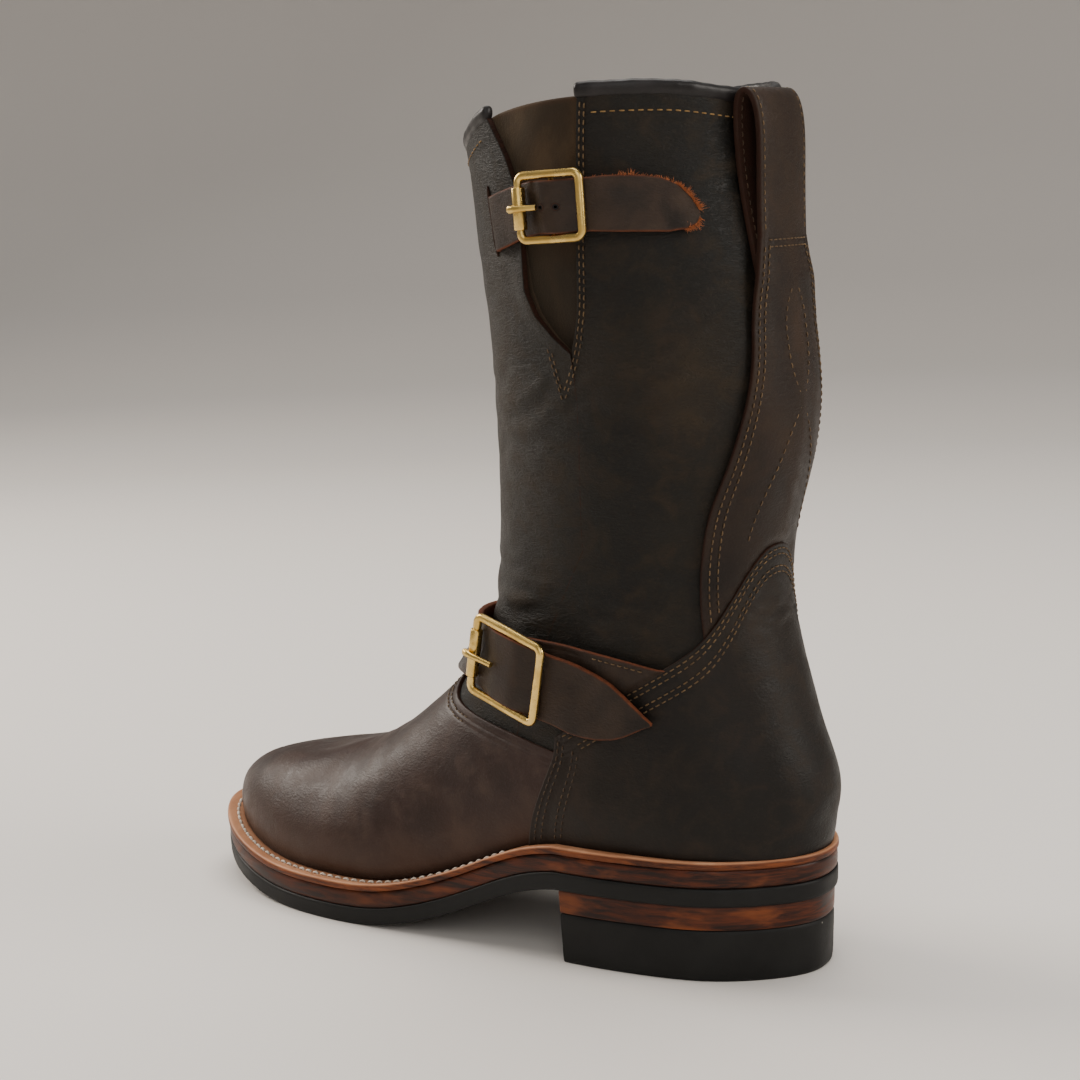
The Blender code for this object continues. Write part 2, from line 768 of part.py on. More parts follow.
def make_sole():
    """Outsole, midsole and insole along the profile, and the heel's two layers under the seat"""
    outsole_in = lambda phase: EDGE_INSET["outsole"]
    midsole_in = lambda phase: EDGE_INSET["midsole"]
    sole_layer("outsole", bottom, lambda y: bottom(y) + OUTSOLE,
               outsole_in, outsole_in, "sole_rubber")
    sole_layer("midsole", lambda y: bottom(y) + OUTSOLE + GAP,
               lambda y: bottom(y) + OUTSOLE + MIDSOLE, midsole_in, midsole_in, "midsole_leather")
    insole_low = OUTSOLE + MIDSOLE + GAP
    insole_high = OUTSOLE + MIDSOLE + WELT + INSOLE_STAND
    sole_layer("insole", lambda y: bottom(y) + insole_low, lambda y: bottom(y) + insole_high,
               insole_inset, insole_inset, "insole_leather")
    floor_in = EDGE_INSET["lift"] + HEEL_TAPER
    split_in = floor_in - HEEL_TAPER * TOP_PIECE_HEIGHT / HEEL_HEIGHT
    sole_layer("heel_top_piece", lambda y: 0.0, lambda y: TOP_PIECE_HEIGHT,
               lambda phase: floor_in, lambda phase: split_in, "sole_rubber", BREAST_Y)
    sole_layer("heel_lift", lambda y: TOP_PIECE_HEIGHT + GAP, lambda y: HEEL_HEIGHT - GAP,
               lambda phase: split_in, lambda phase: EDGE_INSET["lift"], "heel_leather", BREAST_Y)


def insole_inset(phase):
    return ledge(phase) + WALL + INSOLE_CLEARANCE


def make_welt():
    """Flat strip round the whole sole, its inner edge beside the insole"""
    phases = np.linspace(0, 2 * math.pi, LOOP_STATIONS, endpoint=False)
    outer_x, outer_y = sole_edge(phases)
    inner_x, inner_y = sole_edge(phases, insole_inset(phases) - 2 * GAP)
    low = OUTSOLE + MIDSOLE + GAP
    top = OUTSOLE + MIDSOLE + WELT
    corners = []
    for x, y, height in ((outer_x, outer_y, top), (inner_x, inner_y, top),
                         (inner_x, inner_y, low), (outer_x, outer_y, low)):
        corners.append(np.stack([x, y, bottom(y) + height], -1))
    return sweep("welt", np.stack(corners, 1), "welt_leather", wrap=True)


# Upper and what is stitched to it

vee_rear = steady(VEE_COLUMNS, VEE, "rear")
vee_front = steady(VEE_COLUMNS, VEE, "front")


def make_upper():
    """One wall from the feather line to the collar, split by the V above its point"""
    levels = np.concatenate([
        np.linspace(0, 1, FOOT_ROWS + 1) ** 1.1,
        np.linspace(1, VEE[0][0], LOW_SHAFT_ROWS + 1)[1:],
        np.linspace(VEE[0][0], 2, VEE_ROWS + 1)[1:],
    ])
    split_row = FOOT_ROWS + LOW_SHAFT_ROWS
    shares = np.linspace(0, 1, UPPER_COLUMNS + 1)
    level = levels[:, None] + 0 * shares
    rear = np.where(level > VEE[0][0], vee_rear(level), VEE_FOOT)
    front = np.where(level > VEE[0][0], vee_front(level), VEE_FOOT)
    turn = rear + (front - 360 - rear) * shares
    face = upper_face(turn, level)
    outer = lifted(face, 0 * level)
    inner = lifted(face, 0 * level - WALL)
    inner[0, :, 2] = outer[0, :, 2]
    inner[-1, :, 2] = outer[-1, :, 2]
    rows, columns = outer.shape[:2]
    count = rows * columns
    faces = grid_faces(rows, columns, 0) + grid_faces(rows, columns, count)
    for row in (0, rows - 1):
        for j in range(columns - 1):
            a = row * columns + j
            faces.append((a, a + 1, a + 1 + count, a + count))
    for j in (0, columns - 1):
        for row in range(split_row, rows - 1):
            a = row * columns + j
            faces.append((a, a + columns, a + columns + count, a + count))
    points = np.concatenate([outer.reshape(-1, 3), inner.reshape(-1, 3)])
    return make_object("upper", points, faces, "shaft_leather")


def make_gusset():
    """Thin panel behind the V opening, tucked in behind both of its edges"""
    levels = np.linspace(GUSSET_START, 1.985, 8)
    shares = np.linspace(0, 1, 7)
    level = levels[:, None] + 0 * shares
    rear = vee_rear(level) - GUSSET_TUCK
    front = vee_front(level) + GUSSET_TUCK
    face = upper_face(rear + (front - rear) * shares, level)
    outer = lifted(face, 0 * level - WALL - GAP - 0.1)
    inner = lifted(face, 0 * level - WALL - GAP - 0.1 - GUSSET_THICKNESS)
    return shell("gusset", outer, inner, "gusset_leather")


def make_binding():
    """Rolled edge on top of the wall, from one side of the V round to the other"""
    turns = np.linspace(vee_rear(2.0), vee_front(2.0) - 360, UPPER_COLUMNS + 1)
    top = wall_top(turns)
    face = wall_point(turns, top)
    middle_out = (BINDING_OUT - BINDING_IN) / 2
    half_width = (BINDING_OUT + BINDING_IN) / 2
    half_height = (BINDING_HEIGHT - GAP) / 2
    slope = np.stack(last_slope(*face), -1)
    slope[:, 2] = 0
    normal = slope / np.linalg.norm(slope, axis=-1, keepdims=True)
    sections = []
    for angle in np.radians(np.arange(30, 390, 60)):
        across = middle_out + half_width * 1.05 * math.cos(angle)
        across = np.clip(across, -BINDING_IN, BINDING_OUT)
        ring = np.stack(face, -1) + normal * across
        ring[:, 2] = top + GAP + half_height * (1 + min(1, 1.08 * math.sin(angle)))
        sections.append(ring)
    return sweep("collar_binding", np.stack(sections, 1), "binding_leather")


counter_top = steady(COUNTER_TOP_COLUMNS, COUNTER_TOP, "height")


def make_counter():
    """Heel panel over the upper, peaked at the back seam"""
    shares = np.linspace(-1, 1, 29)
    climbs = np.linspace(0, 1, 11) ** 1.2
    foot_turn = shares * COUNTER_FRONT_FOOT
    top_turn = shares * COUNTER_FRONT_TOP
    top = counter_top(np.abs(top_turn))
    low = 0 * shares + 45.0
    for _ in range(4):
        low = feather_height(wall_point(foot_turn, low)[1])
    turn = foot_turn + (top_turn - foot_turn) * climbs[:, None]
    z = low + (top - low) * climbs[:, None]
    face = wall_point(turn, z)
    inner = lifted(face, 0 * z + COUNTER_LIFT)
    outer = lifted(face, 0 * z + COUNTER_LIFT + COUNTER_THICKNESS)
    inner[0, :, 2] = low
    outer[0, :, 2] = low
    return shell("counter", outer, inner, "counter_leather")


stay_half = curve(STAY_COLUMNS, STAY, "half")
stay_lift = steady(STAY_COLUMNS, STAY, "lift")


def make_back_stay():
    """Strip up the back seam from the counter's peak to the foot of the pull loop"""
    shares = np.linspace(-1, 1, 9)
    climbs = np.linspace(0, 1, 15)
    low = 0 * shares + 140.0
    for _ in range(12):
        x, y, z = back_point(shares * stay_half(low), low)
        low = 0.5 * low + 0.5 * counter_top(np.abs(turn_of(x, y, z)))
    low = low + STAY_GAP
    z = low + (STAY_TOP - low) * climbs[:, None]
    face = back_point(shares * stay_half(z), z)
    inner = lifted(face, stay_lift(z))
    outer = lifted(face, stay_lift(z) + STAY_THICKNESS)
    inner[-1, :, 2] = STAY_TOP
    outer[-1, :, 2] = STAY_TOP
    return shell("back_stay", outer, inner, "counter_leather")


def make_pull_loop():
    """Strap folded over at the collar, with a finger gap between its two legs"""
    out_at = spline(range(len(LOOP)), column(LOOP_COLUMNS, LOOP, "out"))
    height_at = spline(range(len(LOOP)), column(LOOP_COLUMNS, LOOP, "height"))
    steps = np.linspace(0, len(LOOP) - 1, 2 * len(LOOP) - 1)
    xs = np.linspace(-LOOP_HALF_WIDTH, LOOP_HALF_WIDTH, 5)
    out = out_at(steps)
    height = height_at(steps)
    along_out = np.gradient(out)
    along_up = np.gradient(height)
    size = np.hypot(along_out, along_up)
    half = LOOP_THICKNESS / 2
    grids = []
    for side in (half, -half):
        z = height - along_out / size * side
        shift = out + along_up / size * side
        z[0] = height[0]
        z = z[:, None] + 0 * xs
        face = back_point(xs + 0 * z, np.minimum(z, 312.0))
        y = face[1] + shift[:, None]
        grids.append(np.stack([xs + 0 * z, y, z], -1))
    return shell("pull_loop", grids[0], grids[1], "counter_leather")


# Straps and buckles

def make_strap(name, rows, which, thickness, steps, across=4, lean=0.0):
    """A band on the upper along its table; lean turns its upper edge backwards"""
    turn, height, half, lift, tilt = strap_line(rows, which, steps)
    shares = np.linspace(-1, 1, across)
    z = height[:, None] + half[:, None] * shares
    lean_here = lean * half / strap_half_width(which)
    face = wall_point(turn[:, None] - lean_here[:, None] * shares, z)
    low = lift[:, None] + tilt[:, None] * shares
    return shell(name, lifted(face, low + thickness), lifted(face, low), "strap_leather")


def tube_rings(path, radius, sides, closed):
    """Round sections along a path, as rings of points"""
    path = [Vector(p) for p in path]
    count = len(path)
    rings = []
    side = None
    for i, point in enumerate(path):
        if closed:
            ahead = path[(i + 1) % count] - path[i - 1]
        else:
            ahead = path[min(i + 1, count - 1)] - path[max(i - 1, 0)]
        ahead.normalize()
        if side is None:
            side = ahead.orthogonal().normalized()
        side = (side - ahead * side.dot(ahead)).normalized()
        other = ahead.cross(side)
        ring = []
        for k in range(sides):
            angle = 2 * math.pi * k / sides
            ring.append(point + (side * math.cos(angle) + other * math.sin(angle)) * radius)
        rings.append([tuple(p) for p in ring])
    return np.array(rings)


def round_rectangle(length, height, corner, steps):
    points = []
    for quarter, (sx, sy) in enumerate(((1, 1), (-1, 1), (-1, -1), (1, -1))):
        middle = Vector((sx * (length / 2 - corner), sy * (height / 2 - corner), 0))
        for k in range(steps + 1):
            angle = math.radians(90 * quarter + 90 * k / steps)
            points.append(middle + Vector((math.cos(angle), math.sin(angle), 0)) * corner)
    return points


def put(made, matrix):
    """Place a mesh made in a buckle's own millimetres"""
    scale = Matrix.Diagonal((MM, MM, MM, 1.0))
    made.data.transform(scale @ matrix @ scale.inverted())


def make_buckle(which, rows):
    buckle = BUCKLES[which]
    axes, middle = buckle_place(which, rows)
    matrix = Matrix(axes.tolist()).transposed().to_4x4()
    matrix.translation = Vector(middle)
    inset = BUCKLE_WIRE
    length = buckle["length"] - 2 * inset
    height = buckle["height"] - 2 * inset
    path = round_rectangle(length, height, BUCKLE_CORNER - inset, 3)
    frame = sweep(f"{which}_buckle", tube_rings(path, BUCKLE_WIRE, 8, True), "brass", wrap=True)
    bar_path = [(0, -height / 2, 0), (0, BAR_END - height / 2, -BAR_DROP),
                (0, height / 2 - BAR_END, -BAR_DROP), (0, height / 2, 0)]
    bar = sweep(f"{which}_bar", tube_rings(bar_path, BAR_WIRE, 8, False), "brass")
    bar.hide_render = True
    bar.display_type = "WIRE"
    union = frame.modifiers.new("centre bar", "BOOLEAN")
    union.operation = "UNION"
    union.solver = "EXACT"
    union.object = bar
    left = -length / 2
    half = buckle["roller"] / 2
    corners = []
    for radius, y in ((ROLLER_RADIUS, -half), (ROLLER_RADIUS, half),
                      (BUCKLE_WIRE + GAP, half), (BUCKLE_WIRE + GAP, -half)):
        ring = []
        for k in range(12):
            angle = 2 * math.pi * k / 12
            ring.append((left + radius * math.cos(angle), y, radius * math.sin(angle)))
        corners.append(ring)
    roller = sweep(f"{which}_roller", np.array(corners).transpose(1, 0, 2), "brass", wrap=True)
    rest = ROLLER_RADIUS + PRONG_RADIUS + GAP
    tip = left - ROLLER_RADIUS - 1.0
    prong_path = [(tip, 0, rest - 0.8), (left - 0.6, 0, rest), (left + 2.4, 0, rest - 0.2),
                  (tip + buckle["prong"], 0, rest - 1.0)]
    prong = sweep(f"{which}_prong", tube_rings(prong_path, PRONG_RADIUS, 8, False), "brass")
    for made in (frame, bar, roller, prong):
        put(made, matrix)


def clear_scene():
    for old in list(bpy.data.objects):
        bpy.data.objects.remove(old, do_unlink=True)


def stand_on_origin():
    """Move the whole boot so that the origin is under the middle of its box"""
    meshes = [o.data for o in bpy.context.scene.objects if o.type == "MESH"]
    points = np.array([v.co[:] for mesh in meshes for v in mesh.vertices])
    middle = (points.min(axis=0) + points.max(axis=0)) / 2
    shift = Matrix.Translation((-middle[0], -middle[1], -points[:, 2].min()))
    for mesh in meshes:
        mesh.transform(shift)


def main():
    clear_scene()
    make_sole()
    make_welt()
    make_upper()
    make_gusset()
    make_binding()
    make_counter()
    make_back_stay()
    make_pull_loop()
    make_strap("top_strap", TOP_STRAP, "top", TOP_STRAP_THICKNESS, 27)
    make_strap("top_chape", TOP_CHAPE, "top", TOP_CHAPE_THICKNESS, 7)
    make_strap("instep_strap", INSTEP_STRAP, "instep", INSTEP_STRAP_THICKNESS, 43,
               lean=INSTEP_STRAP_LEAN)
    make_strap("instep_chape", INSTEP_CHAPE, "instep", INSTEP_CHAPE_THICKNESS, 8,
               lean=INSTEP_STRAP_LEAN)
    make_buckle("top", TOP_STRAP)
    make_buckle("instep", INSTEP_STRAP)
    stand_on_origin()


main()
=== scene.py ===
"""Dressed left engineer boot round its CAD frame: leather, seams, straps, buckles and sole.

Sizes are in millimetres in the boot's own last axes: x towards the outer side, the toe towards
-y, z up from the floor, y = 0 at the back of the sole. A turn is an angle round the shaft in
degrees: 0 at the back seam, 90 on the outer side, 180 at the front.
"""
import math

import bmesh
import bpy
import numpy as np
from mathutils import Matrix, Vector


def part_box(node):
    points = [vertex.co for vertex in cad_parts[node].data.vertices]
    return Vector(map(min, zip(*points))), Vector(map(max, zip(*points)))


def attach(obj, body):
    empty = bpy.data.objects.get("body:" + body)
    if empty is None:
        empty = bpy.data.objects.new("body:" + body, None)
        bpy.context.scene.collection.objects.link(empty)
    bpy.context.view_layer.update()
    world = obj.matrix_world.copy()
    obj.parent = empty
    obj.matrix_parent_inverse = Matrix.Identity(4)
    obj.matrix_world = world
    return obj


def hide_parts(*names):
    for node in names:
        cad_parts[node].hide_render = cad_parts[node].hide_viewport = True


MM = 0.001
GAP = 0.3

# Stations of the sole's outline
SOLE_STATIONS = 33
LOOP_STATIONS = 2 * (SOLE_STATIONS - 1)

# Sole: outsole, midsole and welt follow one bottom profile, and the heel stack fills the seat
SOLE_LENGTH = 294.0
HEEL_HEIGHT = 28.4
TOP_PIECE_HEIGHT = 19.4
OUTSOLE = 6.8
MIDSOLE = 7.0
WELT = 2.7
TOE_SPRING = 12.9
SEAT_END = 0.305
BREAST_Y = -87.8
HEEL_TAPER = 1.4
EDGE_INSET = {"outsole": 0.4, "midsole": 0.8, "lift": 1.8}
INSOLE_STAND = 2.3
INSOLE_CLEARANCE = 1.5

OUTLINE_COLUMNS = ("share", "lateral", "medial", "ledge")
OUTLINE = (
    (0.00, 0.0, 0.0, 5.2),
    (0.04, 22.5, 25.0, 5.2),
    (0.10, 35.3, 33.5, 5.4),
    (0.18, 42.2, 36.5, 5.8),
    (0.28, 45.8, 34.8, 6.4),
    (0.40, 46.2, 31.5, 6.8),
    (0.50, 47.5, 35.0, 6.8),
    (0.60, 50.8, 43.0, 6.8),
    (0.68, 52.0, 49.0, 7.0),
    (0.76, 50.0, 52.0, 7.2),
    (0.86, 42.0, 49.0, 7.4),
    (0.94, 28.8, 37.0, 7.4),
    (1.00, 0.0, 0.0, 7.4),
)
PROFILE_COLUMNS = ("share", "rise")
PROFILE = (
    (0.00, HEEL_HEIGHT),
    (0.15, HEEL_HEIGHT),
    (0.24, HEEL_HEIGHT),
    (0.30, HEEL_HEIGHT),
    (0.37, 23.8),
    (0.45, 14.0),
    (0.53, 5.4),
    (0.60, 1.0),
    (0.66, 0.0),
    (0.72, 0.0),
    (0.78, 0.5),
    (0.86, 3.2),
    (0.94, 8.0),
    (1.00, TOE_SPRING),
)

# Upper: a standing shaft and a lying foot, blended into one last
WALL = 2.2
FEATHER_GAP = 1.0
RING_HEIGHT = 155.0
LOW_BLEND = 5.0
INSTEP_BLEND = 34.0
INSTEP_RISE = (65.0, 105.0)
INSTEP_REACH = (55.0, 110.0)
BALL_CENTRE = -206.0
HEEL_CENTRE = -52.0
SIDE_BULGE = 3.0
BULGE_HEIGHT = 20.0
TOE_FULLNESS = 6.0
SHAFT_ROUNDNESS = 2.1

SHAFT_COLUMNS = ("z", "back", "front", "lateral", "medial")
SHAFT = (
    (30.0, -9.0, -112.0, 31.0, 30.0),
    (50.0, -3.8, -114.0, 35.0, 33.5),
    (64.0, 0.0, -116.0, 36.5, 35.0),
    (85.0, -5.2, -119.0, 36.5, 35.0),
    (110.0, -13.0, -122.0, 37.0, 36.0),
    (135.0, -18.6, -126.5, 39.5, 39.0),
    (158.0, -17.6, -129.2, 42.5, 42.0),
    (182.0, -11.2, -130.0, 46.0, 45.0),
    (208.0, -7.8, -129.2, 49.0, 48.0),
    (235.0, -9.6, -129.0, 51.5, 50.5),
    (262.0, -14.6, -131.0, 53.0, 52.0),
    (290.0, -19.3, -133.2, 54.0, 53.0),
    (330.0, -21.0, -139.5, 55.0, 54.0),
)
FOOT_COLUMNS = ("y", "top", "crown")
FOOT = (
    (-300.0, 51.5, 2.0),
    (-285.0, 52.5, 2.0),
    (-270.0, 53.2, 2.0),
    (-250.0, 54.5, 2.0),
    (-225.0, 58.5, 2.05),
    (-200.0, 67.5, 2.1),
    (-178.0, 80.5, 2.1),
    (-155.0, 99.0, 2.0),
    (-130.0, 118.0, 2.0),
    (-95.0, 122.0, 2.0),
    (-60.0, 105.0, 2.0),
    (-30.0, 85.0, 2.0),
    (0.0, 70.0, 2.0),
)
COLLAR_COLUMNS = ("turn", "height")
COLLAR = (
    (0.0, 313.4),
    (20.0, 314.7),
    (32.0, 316.3),
    (46.0, 317.3),
    (60.0, 317.5),
    (75.0, 317.2),
    (100.0, 314.5),
    (118.0, 310.0),
    (132.0, 305.0),
    (150.0, 302.0),
    (180.0, 301.0),
)
BINDING_HEIGHT = 4.2
BINDING_OUT = 0.9
BINDING_IN = 3.3

# V opening on the lateral side: level 1 is the ankle ring, level 2 the top of the wall
VEE_COLUMNS = ("level", "rear", "front")
VEE = (
    (1.45, 88.0, 88.0),
    (1.49, 85.5, 94.0),
    (1.54, 83.0, 99.5),
    (1.60, 81.0, 102.3),
    (1.68, 78.6, 101.8),
    (1.83, 74.0, 100.8),
    (1.90, 72.4, 103.8),
    (2.00, 70.0, 111.0),
)
VEE_FOOT = 88.0
GUSSET_THICKNESS = 1.4
GUSSET_TUCK = 5.0
GUSSET_START = 1.43

# Overlays on the upper
COUNTER_THICKNESS = 1.6
COUNTER_LIFT = 0.55
COUNTER_FRONT_FOOT = 124.7
COUNTER_FRONT_TOP = 114.4
COUNTER_TOP_COLUMNS = ("turn", "height")
COUNTER_TOP = (
    (0.0, 155.5),
    (8.0, 154.2),
    (16.0, 149.5),
    (27.0, 139.3),
    (44.0, 124.4),
    (60.0, 115.4),
    (76.0, 107.6),
    (95.0, 97.5),
    (114.4, 85.2),
)
STAY_THICKNESS = 2.0
STAY_COLUMNS = ("z", "half", "lift")
STAY = (
    (115.0, 27.0, 0.45),
    (140.0, 27.4, 0.45),
    (156.0, 27.8, 0.45),
    (171.0, 28.2, 0.6),
    (184.0, 27.0, 0.9),
    (207.0, 23.3, 0.9),
    (220.0, 21.1, 0.6),
    (232.0, 19.8, 0.6),
    (240.0, 18.8, 1.5),
    (248.0, 17.6, 3.0),
    (255.0, 16.4, 3.4),
    (262.0, 15.2, 4.1),
)
LOOP_HALF_WIDTH = 14.8
LOOP_THICKNESS = 2.0
LOOP_COLUMNS = ("out", "height")
LOOP = (
    (5.1, 262.5),
    (7.5, 275.0),
    (9.8, 288.0),
    (10.9, 298.0),
    (10.6, 305.5),
    (9.0, 310.4),
    (6.4, 312.4),
    (3.9, 310.8),
    (2.6, 305.5),
    (2.0, 295.0),
    (1.5, 280.0),
    (1.4, 262.0),
    (1.4, 246.0),
)

# Straps, measured from their buckle's middle: places along in buckle lengths, height of the
# middle line, half width as a share of the width that fits the buckle, and lift off the upper
STRAP_COLUMNS = ("at", "height", "half", "lift", "tilt")
TOP_STRAP_THICKNESS = 2.0
TOP_STRAP = (
    (-1.773, -5.0, 0.133, 0.7, 0.0),
    (-1.699, -3.9, 0.511, 0.8, 0.0),
    (-1.57, -2.5, 0.822, 1.1, 0.0),
    (-1.349, -1.3, 1.022, 1.7, 0.0),
    (-1.054, -0.5, 1.056, 2.5, 0.0),
    (-0.759, -0.1, 1.056, 2.6, 0.0),
    (-0.457, -0.0, 1.0, 2.8, 0.0),
    (-0.332, -0.0, 1.0, 2.8, 0.0),
    (-0.066, -0.2, 1.0, 5.5, 0.0),
    (0.081, -0.1, 1.0, 5.5, 0.0),
    (0.339, -0.5, 1.0, 2.1, 0.0),
    (0.494, -1.2, 1.0, 1.6, 0.0),
    (0.825, -3.3, 1.044, 0.8, 0.0),
    (1.194, -5.7, 1.056, 0.6, 0.0),
)
TOP_CHAPE_THICKNESS = 1.6
TOP_CHAPE = (
    (-0.98, -0.5, 0.978, 0.4, 0.0),
    (-0.612, -0.1, 0.978, 0.4, 0.0),
    (-0.133, -0.1, 0.978, 0.4, 0.0),
)
INSTEP_STRAP_THICKNESS = 2.2
INSTEP_STRAP_LEAN = 3.0
INSTEP_STRAP = (
    (-1.674, -14.2, 0.04, 4.4, 0.0),
    (-1.585, -13.5, 0.184, 4.4, 0.0),
    (-1.49, -12.8, 0.368, 4.4, 0.0),
    (-1.363, -11.9, 0.6, 4.5, 0.0),
    (-1.205, -10.6, 0.84, 4.6, 0.0),
    (-1.014, -9.4, 1.0, 4.7, 0.1),
    (-0.824, -8.0, 1.076, 4.8, 0.4),
    (-0.666, -6.7, 1.08, 5.0, 0.8),
    (-0.507, -4.9, 1.024, 5.3, 1.3),
    (-0.301, -2.8, 1.0, 5.3, 1.4),
    (-0.111, -0.2, 1.0, 7.6, 1.2),
    (0.111, 2.0, 1.0, 7.7, 1.2),
    (0.317, 3.8, 1.0, 6.6, 1.4),
    (0.507, 4.6, 1.0, 6.5, 1.4),
    (0.729, 4.8, 1.024, 5.0, 0.8),
    (1.046, 4.0, 1.056, 3.0, 0.2),
    (1.363, 3.1, 1.056, 2.4, 0.0),
    (1.744, 2.2, 1.056, 2.3, 0.0),
    (2.282, 1.6, 1.056, 2.3, 0.0),
    (2.821, 0.6, 1.056, 1.7, 0.0),
    (3.392, -1.4, 1.056, 1.5, 0.0),
    (3.836, -3.8, 1.056, 2.6, 0.0),
    (4.343, -6.9, 1.056, 2.6, 0.0),
    (4.85, -10.0, 1.056, 2.6, 0.0),
)
INSTEP_CHAPE_THICKNESS = 1.5
INSTEP_CHAPE = (
    (-1.775, -5.8, 0.912, 2.5, 0.0),
    (-1.427, -3.5, 0.928, 2.5, 0.0),
    (-0.951, -1.2, 0.944, 2.5, 0.0),
    (-0.539, 0.2, 0.944, 2.5, 0.0),
    (-0.095, 1.0, 0.944, 2.5, 0.0),
)

# Buckles: turn of the middle, its drop below the collar or the ankle ring, directions along
# and across as rearwards, upwards and outwards shares, outer size, and room for strap and bar
BUCKLE_WIRE = 1.35
BUCKLE_CORNER = 3.2
BAR_WIRE = 1.0
BAR_DROP = 1.8
BAR_END = 1.1
ROLLER_RADIUS = 2.2
PRONG_RADIUS = 1.1
BUCKLES = {
    "top": {
        "turn": 82.6,
        "drop": 40.2,
        "along": (1.0, 0.03, -0.008),
        "across": (-0.03, 1.0, -0.011),
        "length": 27.2,
        "height": 24.8,
        "room": 0.7,
        "bar_room": 0.58,
        "roller": 14.5,
        "prong": 11.0,
    },
    "instep": {
        "turn": 125.0,
        "drop": 46.6,
        "along": (0.967, -0.246, -0.066),
        "across": (0.253, 0.959, 0.131),
        "length": 38.0,
        "height": 33.0,
        "room": 1.3,
        "bar_room": 0.4,
        "roller": 19.0,
        "prong": 15.0,
    },
}


# Smooth curves through short tables

def spline(places, values):
    """Natural cubic curve through the given values"""
    places = np.asarray(places, float)
    values = np.asarray(values, float)
    count = len(places)
    step = np.diff(places)
    matrix = np.eye(count)
    right = np.zeros(count)
    for i in range(1, count - 1):
        matrix[i, i - 1] = step[i - 1]
        matrix[i, i] = 2 * (step[i - 1] + step[i])
        matrix[i, i + 1] = step[i]
        rise_after = (values[i + 1] - values[i]) / step[i]
        rise_before = (values[i] - values[i - 1]) / step[i - 1]
        right[i] = 6 * (rise_after - rise_before)
    bend = np.linalg.solve(matrix, right)

    def at(place):
        place = np.clip(place, places[0], places[-1])
        i = np.clip(np.searchsorted(places, place) - 1, 0, count - 2)
        span = step[i]
        a = (places[i + 1] - place) / span
        b = (place - places[i]) / span
        curved = ((a ** 3 - a) * bend[i] + (b ** 3 - b) * bend[i + 1]) * span * span / 6
        return a * values[i] + b * values[i + 1] + curved
    return at


def column(columns, rows, name):
    return [row[columns.index(name)] for row in rows]


def curve(columns, rows, name):
    """A named column as a smooth curve over the table's first column"""
    return spline(column(columns, rows, columns[0]), column(columns, rows, name))


def steady(columns, rows, name):
    """A named column as straight runs over the table's first column"""
    places = column(columns, rows, columns[0])
    values = column(columns, rows, name)
    return lambda place: np.interp(place, places, values)


def soft_step(low, high, value):
    t = np.clip((value - low) / (high - low), 0, 1)
    return t * t * (3 - 2 * t)


# Sole outline and bottom profile

def outline_curve(name):
    """An outline column over the half turn, so that toe and heel come out round"""
    half_turns = [math.acos(1 - 2 * row[0]) for row in OUTLINE]
    return spline(half_turns, column(OUTLINE_COLUMNS, OUTLINE, name))


EDGE = {name: outline_curve(name) for name in OUTLINE_COLUMNS[1:]}
profile_rise = curve(PROFILE_COLUMNS, PROFILE, "rise")
STATION_SHARES = (1 - np.cos(np.linspace(0, math.pi, SOLE_STATIONS))) / 2
STATION_RISES = np.where(STATION_SHARES < SEAT_END, HEEL_HEIGHT,
                         np.maximum(profile_rise(STATION_SHARES), 0.0))


def bottom(y):
    """Height of the outsole's underside above the floor, straight between stations"""
    share = -np.asarray(y, float) / SOLE_LENGTH
    return np.interp(share, STATION_SHARES, STATION_RISES)


def half_of(phase):
    phase = np.mod(phase, 2 * math.pi)
    return phase <= math.pi, np.where(phase <= math.pi, phase, 2 * math.pi - phase)


def raw_edge(phase):
    is_lateral, half = half_of(phase)
    x = np.where(is_lateral, EDGE["lateral"](half), -EDGE["medial"](half))
    return x, -SOLE_LENGTH * (1 - np.cos(half)) / 2


def ledge(phase):
    """How far the upper stands in from the sole's edge"""
    return EDGE["ledge"](half_of(phase)[1])


def sole_edge(phase, inset=0.0):
    """The sole's outline moved inwards; phase 0 is the heel, pi the toe"""
    phase = np.asarray(phase, float)
    x, y = raw_edge(phase)
    ahead = raw_edge(phase + 0.001)
    behind = raw_edge(phase - 0.001)
    along_x = ahead[0] - behind[0]
    along_y = ahead[1] - behind[1]
    size = np.hypot(along_x, along_y)
    return x + along_y / size * inset, y - along_x / size * inset


def feather_height(y):
    """Height at which the upper's wall stands on the welt"""
    return bottom(y) + OUTSOLE + MIDSOLE + WELT + FEATHER_GAP


# The last: a field that is 0 on the upper's outer face and negative inside

FINE_PHASES = np.linspace(0, math.pi, 1500)
FEATHER_LATERAL = sole_edge(FINE_PHASES, ledge(FINE_PHASES))
FEATHER_MEDIAL = sole_edge(2 * math.pi - FINE_PHASES, ledge(FINE_PHASES))
foot_top = curve(FOOT_COLUMNS, FOOT, "top")
foot_crown = curve(FOOT_COLUMNS, FOOT, "crown")
SHAFT_AT = {name: curve(SHAFT_COLUMNS, SHAFT, name) for name in SHAFT_COLUMNS[1:]}


def polar_reach(angle, is_lateral, centre, sign):
    """Distance from a centre on the mid line out to the feather line"""
    reach = np.zeros_like(angle)
    for lateral, (edge_x, edge_y) in ((True, FEATHER_LATERAL), (False, FEATHER_MEDIAL)):
        ahead = sign * (edge_y - centre)
        keep = ahead >= 0
        angles = np.arctan2(np.abs(edge_x[keep]), ahead[keep])
        radii = np.hypot(edge_x[keep], ahead[keep])
        order = np.argsort(angles)
        found = np.interp(angle, angles[order], radii[order])
        reach = np.where(is_lateral == lateral, found, reach)
    return reach


